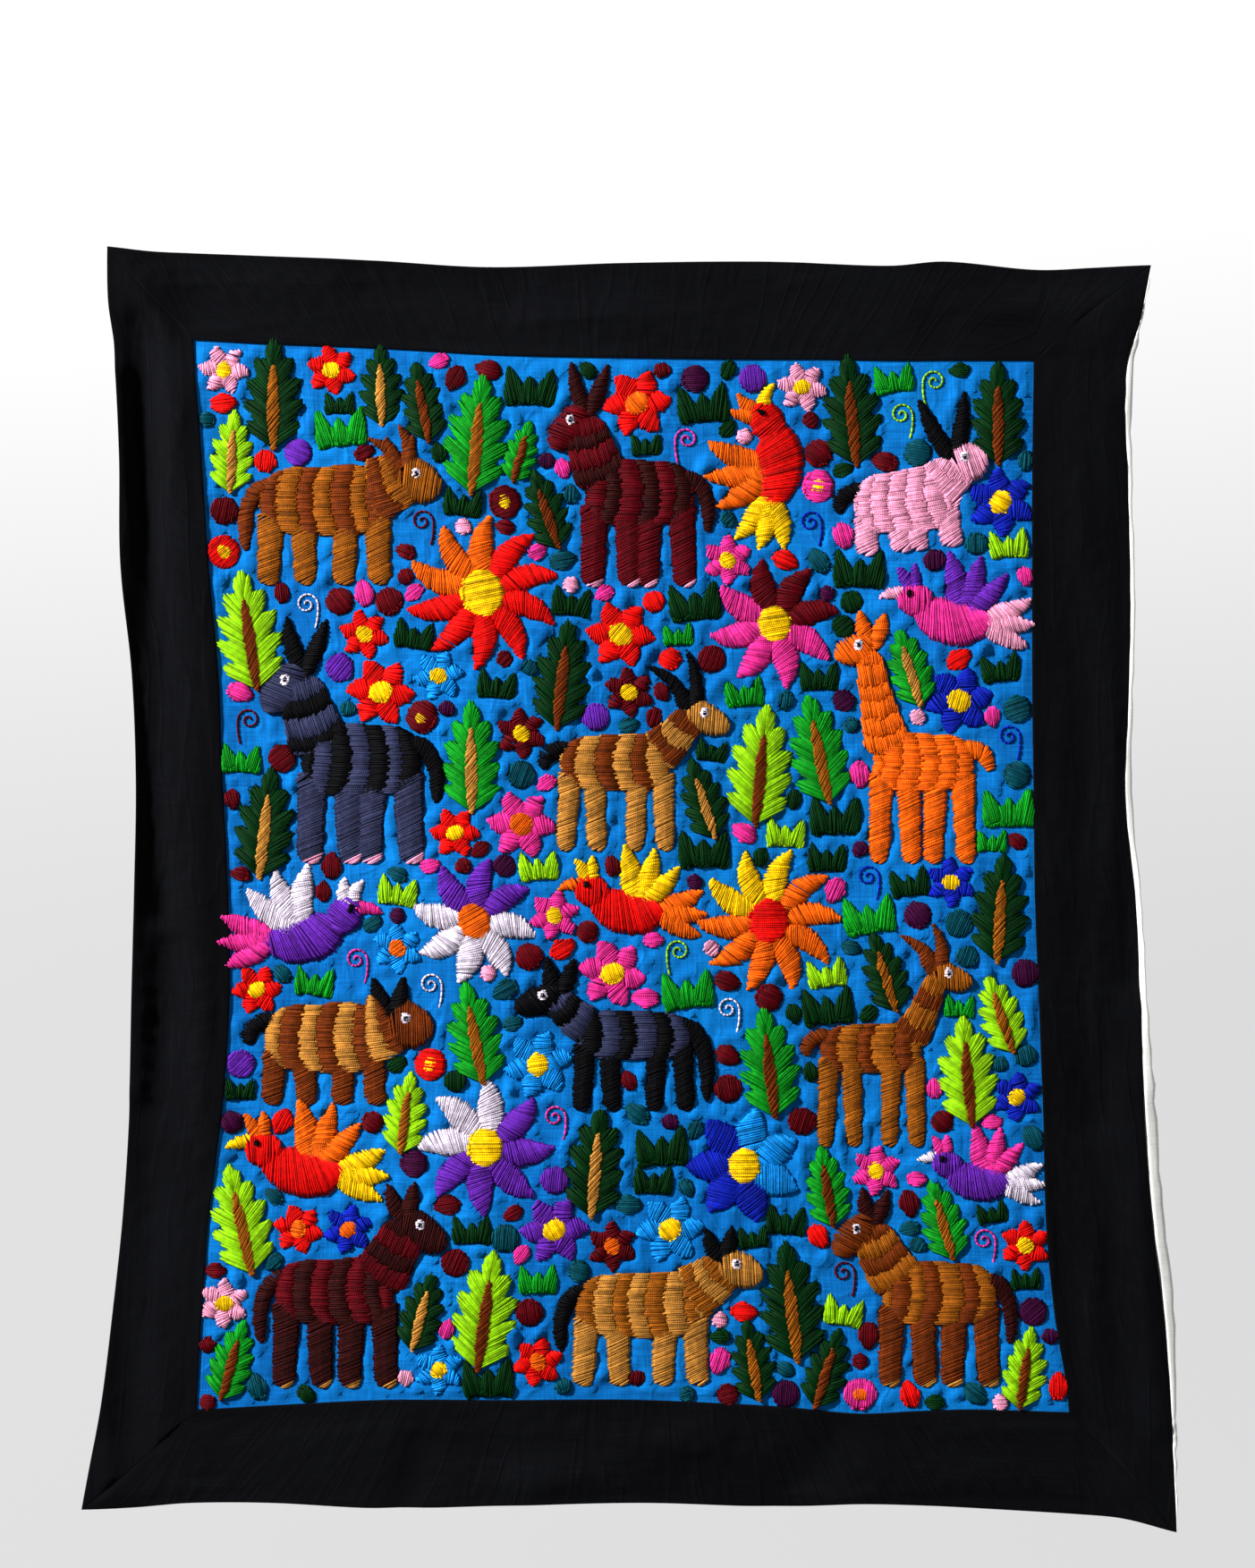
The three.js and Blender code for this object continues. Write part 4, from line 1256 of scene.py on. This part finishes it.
VEINS = ("brown", "ochre", "tan")
# Nearest that a small thing is sewn to its neighbours
GAP = 0.7
print("small things to sew, at most", sum(facts["most"] for facts in SMALL))

# %% Forms of the small things


def blade(x, z, angle, length, half):
    """A blade of grass: broad where it leaves the ground, and pointed."""
    c, s = way_at(angle)
    middle = (x + 0.5 * length * c, z + 0.5 * length * s, 0.75 * half)
    return limb((x, z, half), middle, (x + length * c, z + length * s, 0.1 * half), 12)


def small_parts(kind, size):
    """Named limbs of a small thing about its middle."""
    if kind == "sprig":
        return [(name, (spots * size, blunt)) for name, (spots, blunt) in leaf()]
    if kind == "bloom":
        return flower(6, 0.95 * size, 0.29 * size, 0.06 * size, 0.34 * size)
    if kind == "rosette":
        return [("oval", disc(0, 0, size * 0.95)), ("heart", disc(0, 0, size * 0.42))]
    if kind == "tuft":
        return [("blade", blade(x * size, -0.7 * size, angle, long * size, 0.42 * size))
                for x, angle, long in ((-0.45, 106, 1.45), (0.45, 78, 1.5), (0, 90, 1.1))]
    if kind == "seed":
        return [("oval", limb((-size, 0, 0.62 * size), (0, 0, 0.66 * size), (size, 0, 0.42 * size), 2))]
    return [("oval", limb((-size, 0, 0.9 * size), (0, 0, 0.94 * size), (size, 0, 0.9 * size), 2))]


def curl(place, size, yarn):
    """Back stitches along a spiral: the radius shrinks evenly while the thread turns one
    and a half times, above a stem that comes up from the ground."""
    turn = np.linspace(0, 3 * np.pi, 20)
    radius = size * 0.62 * (1 - turn / (3.5 * np.pi))
    x = radius * np.cos(turn) * place["faces"]
    z = 0.3 * size + radius * np.sin(turn)
    stem = np.linspace(-1.0, 0.2, 5)
    bowed = x[0] - place["faces"] * 0.15 * size * stem**2
    x = np.concatenate([bowed, x]) + place["x"]
    z = np.concatenate([stem * size, z]) + place["z"]
    count = len(x) - 1
    base, crown, half = np.full(count, 0.1), np.full(count, 0.35), np.full(count, 0.8)
    tints = shades([yarn] * count, count)
    return np.column_stack([x[:-1], z[:-1], x[1:], z[1:], base, base, crown, half, tints])


def small_rows(kind, place, yarn, second):
    """All stitches of one small thing."""
    if kind == "curl":
        return curl(place, place["size"], yarn)
    if kind == "sprig":
        return sewn_leaf({**place, "grow": place["size"]}, yarn, second)
    parts = [(name, moved(part, place)) for name, part in small_parts(kind, place["size"])]
    made = []
    for i, (name, part) in enumerate(parts):
        over = [p for n, p in parts[i + 1:] if n == "heart"]
        if name == "heart":
            rows = sewn_along(part, (second,), 0.7, band=200.0, dome=1.2)
        elif name in ("oval", "blade"):
            rows = sewn_along(part, (yarn,), 0.0, band=200.0, dome=1.4)
        else:
            rows = sewn_across(part, yarn, 0.0, dome=1.4)
        made.append(uncovered(rows, over))
    return np.concatenate(made)


print("a small flower has", len(small_parts("bloom", 26.0)), "limbs")

# %% Finding a place


def room_at(x, z):
    """The free room at any place, by straight lines between the points of its grid."""
    i = np.clip((x - GRID_X[0, 0]) / GRID_STEP, 0, room.shape[1] - 1.001)
    j = np.clip((z - GRID_Z[0, 0]) / GRID_STEP, 0, room.shape[0] - 1.001)
    a, b = i.astype(int), j.astype(int)
    u, v = i - a, j - b
    low = room[b, a] * (1 - u) + room[b, a + 1] * u
    high = room[b + 1, a] * (1 - u) + room[b + 1, a + 1] * u
    return low * (1 - v) + high * v


def outline_circles(kind, place):
    """The circles that a small thing fills."""
    if kind == "curl":
        return np.array([[place["x"], place["z"], place["size"]]])
    return np.concatenate([discs(moved(part, place)) for _, part in small_parts(kind, place["size"])])


def snuggest(facts):
    """Tries a small thing at every second point of the grid, at a few turns. Of the places
    where all its circles keep the gap, it gives one with little room to spare."""
    best = (np.inf, None)
    x, z, clear = (part[::2, ::2].ravel() for part in (GRID_X, GRID_Z, room))
    x, z = x[clear > 3], z[clear > 3]
    for turn in CHANCE.uniform(-facts["swing"], facts["swing"], 4):
        place = {"x": 0.0, "z": 0.0, "size": facts["size"], "grow": 1.0, "turn": turn,
                 "faces": CHANCE.choice([-1, 1])}
        circles = outline_circles(facts["kind"], place)
        spare = room_at(x[:, None] + circles[:, 0], z[:, None] + circles[:, 1]) - circles[:, 2]
        spare = spare.min(1)
        loose = np.where(spare > GAP, spare + CHANCE.uniform(0, 2, len(spare)), np.inf)
        if len(spare) and loose.min() < best[0]:
            at = loose.argmin()
            best = (loose[at], {**place, "x": x[at], "z": z[at]})
    return best[1]


print("most room at a point", round(float(room.max()), 1), "mm")

# %% Sewing the small things
small = {}
for facts in SMALL:
    yarns = facts["yarns"].split()
    for i in range(facts["most"]):
        place = snuggest(facts)
        if place is None:
            break
        yarn = yarns[i % len(yarns)]
        second = VEINS[i % 3] if facts["kind"] == "sprig" else HEARTS[i % 4]
        small.setdefault(yarn, []).append(small_rows(facts["kind"], place, yarn, second))
        room = room_beside(room, outline_circles(facts["kind"], place))
    print(facts["kind"], facts["size"], "sewn", i + (place is not None))
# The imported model's record names no floss of its own for these three
for yarn, rows in small.items():
    stitches(f"small_stitches_{yarn}", np.concatenate(rows))
print("ground left free", round((room > 0).sum() * POINT_AREA, 1), "square decimetres")

# %% [markdown]
# ## Sheets of cloth
# Cloth has two faces and a thin rim. Solidify could give a single grid its thickness, but the
# rim would be square, and the back has folds of its own. So each sheet is two grids of points
# joined round their edge. The lines of the grid lie closer near the edges, where the cloth
# thins like a worn fold, so that light runs round the rim and not along a sharp corner.

# %% Closed sheets
# Distances from the rim of the first lines of the grid
RIM = np.array([0.0, 0.12, 0.45, 1.0, 1.8])


def lines(low, high, length, cell):
    """Values from low to high over a length in mm: close at both ends, then even cells."""
    count = int((length - 2 * RIM[-1]) / cell)
    even = np.linspace(RIM[-1], length - RIM[-1], count + 1)
    at = np.concatenate([RIM[:-1], even, length - RIM[:-1][::-1]])
    return low + (high - low) * at / length, np.minimum(at, length - at)


def rounded(edge, radius=1.0):
    """Share of the full thickness at a distance from the rim: a quarter circle."""
    return np.sqrt(np.clip(1 - (1 - np.clip(edge / radius, 0, 1)) ** 2, 0.004, 1))


def facing(x, z, height):
    """Points that stand in front of the plane y = 0 by their height."""
    return np.stack([x, -height, z], -1)


def closed_sheet(name, front, back, flat, material, node):
    """Two grids of points (n, m, 3), and flat (n, m, 2), where each lies on the flat cloth.
    The back's faces are turned round, and a strip of faces joins the two outlines."""
    n, m = front.shape[:2]
    index = np.arange(n * m).reshape(n, m)
    grid = np.stack([index[:-1, :-1], index[1:, :-1], index[1:, 1:], index[:-1, 1:]], -1).reshape(-1, 4)
    loop = np.concatenate([index[:-1, 0], index[-1, :-1], index[:0:-1, -1], index[0, :0:-1]])
    after = np.roll(loop, -1)
    rim = np.stack([loop, loop + n * m, after + n * m, after], -1)
    faces = np.concatenate([grid, grid[:, ::-1] + n * m, rim])
    points = np.concatenate([front.reshape(-1, 3), back.reshape(-1, 3)])
    a, b, c = (points[faces[:, k]] for k in (0, 1, 2))
    if (np.cross(b - a, c - a)[: len(grid), 1]).sum() > 0:
        faces = faces[:, ::-1]
    cloth = np.tile(flat.reshape(-1, 2), (2, 1))
    made = mesh_object(name, points, faces, material, {"cloth": cloth})
    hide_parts(node)
    return made


print("the cloth's thickness starts at", round(float(rounded(0.0)), 2), "of the whole")

# %% [markdown]
# ## The blue panel
# Stitches pull the cloth tight under them, so it puffs up in between and wrinkles in short
# folds that start at the stitches. Creases in the material alone would look flat from the
# side, so the grid itself is lifted. The same free room that placed the small things says
# where: the cloth stands highest far from any stitch.

# %% Panel
PANEL_FLAT = (620.0, 775.0)
PANEL_THICK = 1.2
PANEL_CELL = 3.4
# Heights in mm of the even swell, of the creases in it and of the ripple on them
SWELL, CREASE, RIPPLE = 0.3, 2.6, 0.8
# Deeper than this, the blue cloth would meet the lining
PUCKER_LOW = -0.4


def puckers(x, z):
    """Height of the cloth between the stitches: a swell with creases in it, where cloudy
    waves cross zero, and a ripple, all cut off below the lowest height. It rises from the
    stitches over 3 mm of free room."""
    free = smooth(room_at(x, z), -0.5, 3.0)
    crease = ridge(waves(x, z, 40, 3), 1.5) + 0.6 * ridge(waves(x, z, 24, 4), 1.5)
    height = SWELL + CREASE * crease + RIPPLE * waves(x, z, 17, 5)
    return free * np.maximum(height, PUCKER_LOW)


def panel():
    """From seam to seam, 1 to 2 both ways. The back follows the puckers by 0.6."""
    across, edge_a = lines(1.0, 2.0, PANEL_FLAT[0], PANEL_CELL)
    down, edge_d = lines(1.0, 2.0, PANEL_FLAT[1], PANEL_CELL)
    a, d = np.meshgrid(across, down, indexing="ij")
    x, z = hung(a, d)
    edge = np.minimum(edge_a[:, None], edge_d[None, :])
    middle = forward(x, z) - PANEL_THICK / 2
    thick = PANEL_THICK * rounded(edge)
    lift = puckers(x, z) * smooth(edge, 2.0, 9.0)
    front = facing(x, z, middle + thick / 2 + lift)
    back = facing(x, z, middle - thick / 2 + 0.6 * lift)
    flat = np.stack([(a - 1) * PANEL_FLAT[0], (d - 1) * PANEL_FLAT[1]], -1)
    return closed_sheet("blue_panel", front, back, flat, GROUND, "panel")


blue_panel = panel()
print("panel triangles", len(blue_panel.data.polygons) * 2)

# %% [markdown]
# ## The black border
# Four strips, cut with slanting ends. Each strip's inner edge is turned under and sewn onto
# the panel, so it stands a little proud and round. Its parameters run along the strip and
# from the outer edge to the seam. At depth v the strip reaches from v to 3 - v across,
# which gives both mitres with no cutting.

# %% Border strips
BORDER_WIDE = 70.0
BORDER_THICK = 1.8
# How far the turned edge reaches over the seam
TUCK = 1.0
INWARDS = {"left": (1, 0), "right": (-1, 0), "top": (0, -1), "bottom": (0, 1)}


def crumples(x, z, level):
    """Height of a strip's creases: waves and ridges drawn out along it. Troughs stay
    shallow, because the lining lies close behind."""
    stretch = (7.0, 1.0) if level else (1.0, 7.0)
    height = 0.9 * waves(x, z, 34, 11, stretch) + 0.9 * ridge(waves(x, z, 44, 12, stretch), 2.0)
    height = height + 0.2 * waves(x, z, 14, 13)
    return np.where(height < 0, 0.3 * height, height)


def strip(side, outer, inner):
    """A strip with its outer and inner lengths in mm. The grid's ends blend from the whole
    side at the outer edge to the seam's length at the inner one."""
    u, edge_u = lines(0.0, 1.0, outer, 3.6)
    v, edge_v = lines(0.0, 1.0, BORDER_WIDE, 2.9)
    start = (outer - inner) / 2 / outer
    seams = np.interp(u, [0, start, 1 - start, 1], [0.0, 1.0, 2.0, 3.0])
    u2, v2 = np.meshgrid(u, v, indexing="ij")
    along_strip = seams[:, None] * (1 - v2) + (1 + u2) * v2
    depth = v2 if side in ("left", "top") else 3 - v2
    a, d = (depth, along_strip) if side in ("left", "right") else (along_strip, depth)
    x, z = hung(a, d)
    level = side in ("top", "bottom")
    x = x + INWARDS[side][0] * TUCK * smooth(v2, 0.93, 1.0)
    z = z + INWARDS[side][1] * TUCK * smooth(v2, 0.93, 1.0)
    ends = edge_u[:, None] * 0.7
    seam = (1 - v2) * BORDER_WIDE
    hem = v2 * BORDER_WIDE
    thick = 0.3 + 1.5 * rounded(np.minimum(edge_v[None, :], ends + 0.15), 1.6)
    proud = 0.5 + 1.25 * (1 - smooth(seam, 0.5, 7.0)) + 0.8 * (1 - smooth(hem, 1.0, 6.0))
    calm = smooth(edge_v[None, :], 0.0, 9.0) * smooth(ends, 0.0, 6.0)
    crumple = crumples(x, z, level)
    face = forward(x, z) + proud
    thinner = (BORDER_THICK - thick) / 2
    front = facing(x, z, face + crumple * calm - thinner)
    back = facing(x, z, face + 0.4 * crumple * calm - BORDER_THICK + thinner)
    flat = np.stack([u2 * outer, v2 * BORDER_WIDE], -1)
    if not level:
        flat = flat[..., ::-1]
    return closed_sheet(f"black_{side}", front, back, flat, BORDER, f"border_{side}")


# Outer and inner length of each strip
STRIPS = {
    "top": (756.0, 613.0),
    "bottom": (795.0, 640.0),
    "left": (915.0, 780.0),
    "right": (918.0, 775.0),
}
for side, (outer, inner) in STRIPS.items():
    made = strip(side, outer, inner)
    print(made.name, "triangles", len(made.data.polygons) * 2)

# %% [markdown]
# ## The lining
# A white cotton sheet closes the back. On the right it was cut a little wider and rolls
# forward round the edge, where it shows as a narrow padded line with small creases. A cord
# laid along the border could look like that from the front, but one sheet looks right from
# behind as well.

# %% Lining
LINING_FLAT = (775.0, 912.0)
LINING_BEHIND = 1.6
LINING_THICK = 1.2
# Where it starts at the left, as a count across
LINING_LEFT = 0.025
# Lines of the grid over the rolled edge, in shares of what shows
SHOWN = np.array([0.08, 0.2, 0.35, 0.5, 0.65, 0.8, 0.92, 0.98, 1.0])


def lining():
    """Behind everything, drawn in by 1.5 mm on three sides. Past 3 across, it rolls forward
    as a padded edge, the root of 1 minus the distance from its middle to the power 4, and
    short waves crease it across. The back sags in long upright folds."""
    behind = lines(LINING_LEFT, 3.0, LINING_FLAT[0] - 8, 9.0)[0]
    across = np.concatenate([behind, 3.0 + SHOWN])
    down, edge_d = lines(0.02, 2.98, LINING_FLAT[1], 5.0)
    a, d = np.meshgrid(across, down, indexing="ij")
    x, z = hung(a, d)
    past = np.clip(a - 3, 0, 1)
    edge_a = np.minimum((a - LINING_LEFT) * 60, (1 - past) * 6)
    edge = np.minimum(edge_a, edge_d[None, :])
    crease = ridge(waves(x * 0, z, 14, 21), 1.2) + 0.5 * waves(x * 0, z, 30, 22)
    roll = (2.8 + 0.6 * crease) * np.sqrt(1 - np.abs(2 * past - 1) ** 4)
    x = x + past * 0.5 * waves(x * 0, z, 17, 23)
    drape = ridge(waves(x, z, 120, 25, (1.0, 3.0)), 1.6)
    sag = 0.7 * waves(x, z, 90, 24, (1.0, 2.5)) + 1.5 * drape
    sag = np.maximum(sag, 0) * smooth(edge, 2.0, 20.0)
    thick = LINING_THICK * rounded(edge, 0.8)
    middle = forward(x, z) - LINING_BEHIND - LINING_THICK / 2
    front = facing(x, z, middle + thick / 2 + roll)
    back = facing(x, z, middle - thick / 2 + 0.5 * roll - sag)
    flat = np.stack([x, z], -1)
    return closed_sheet("white_lining", front, back, flat, LINING, "lining")


white_lining = lining()
print("lining triangles", len(white_lining.data.polygons) * 2)
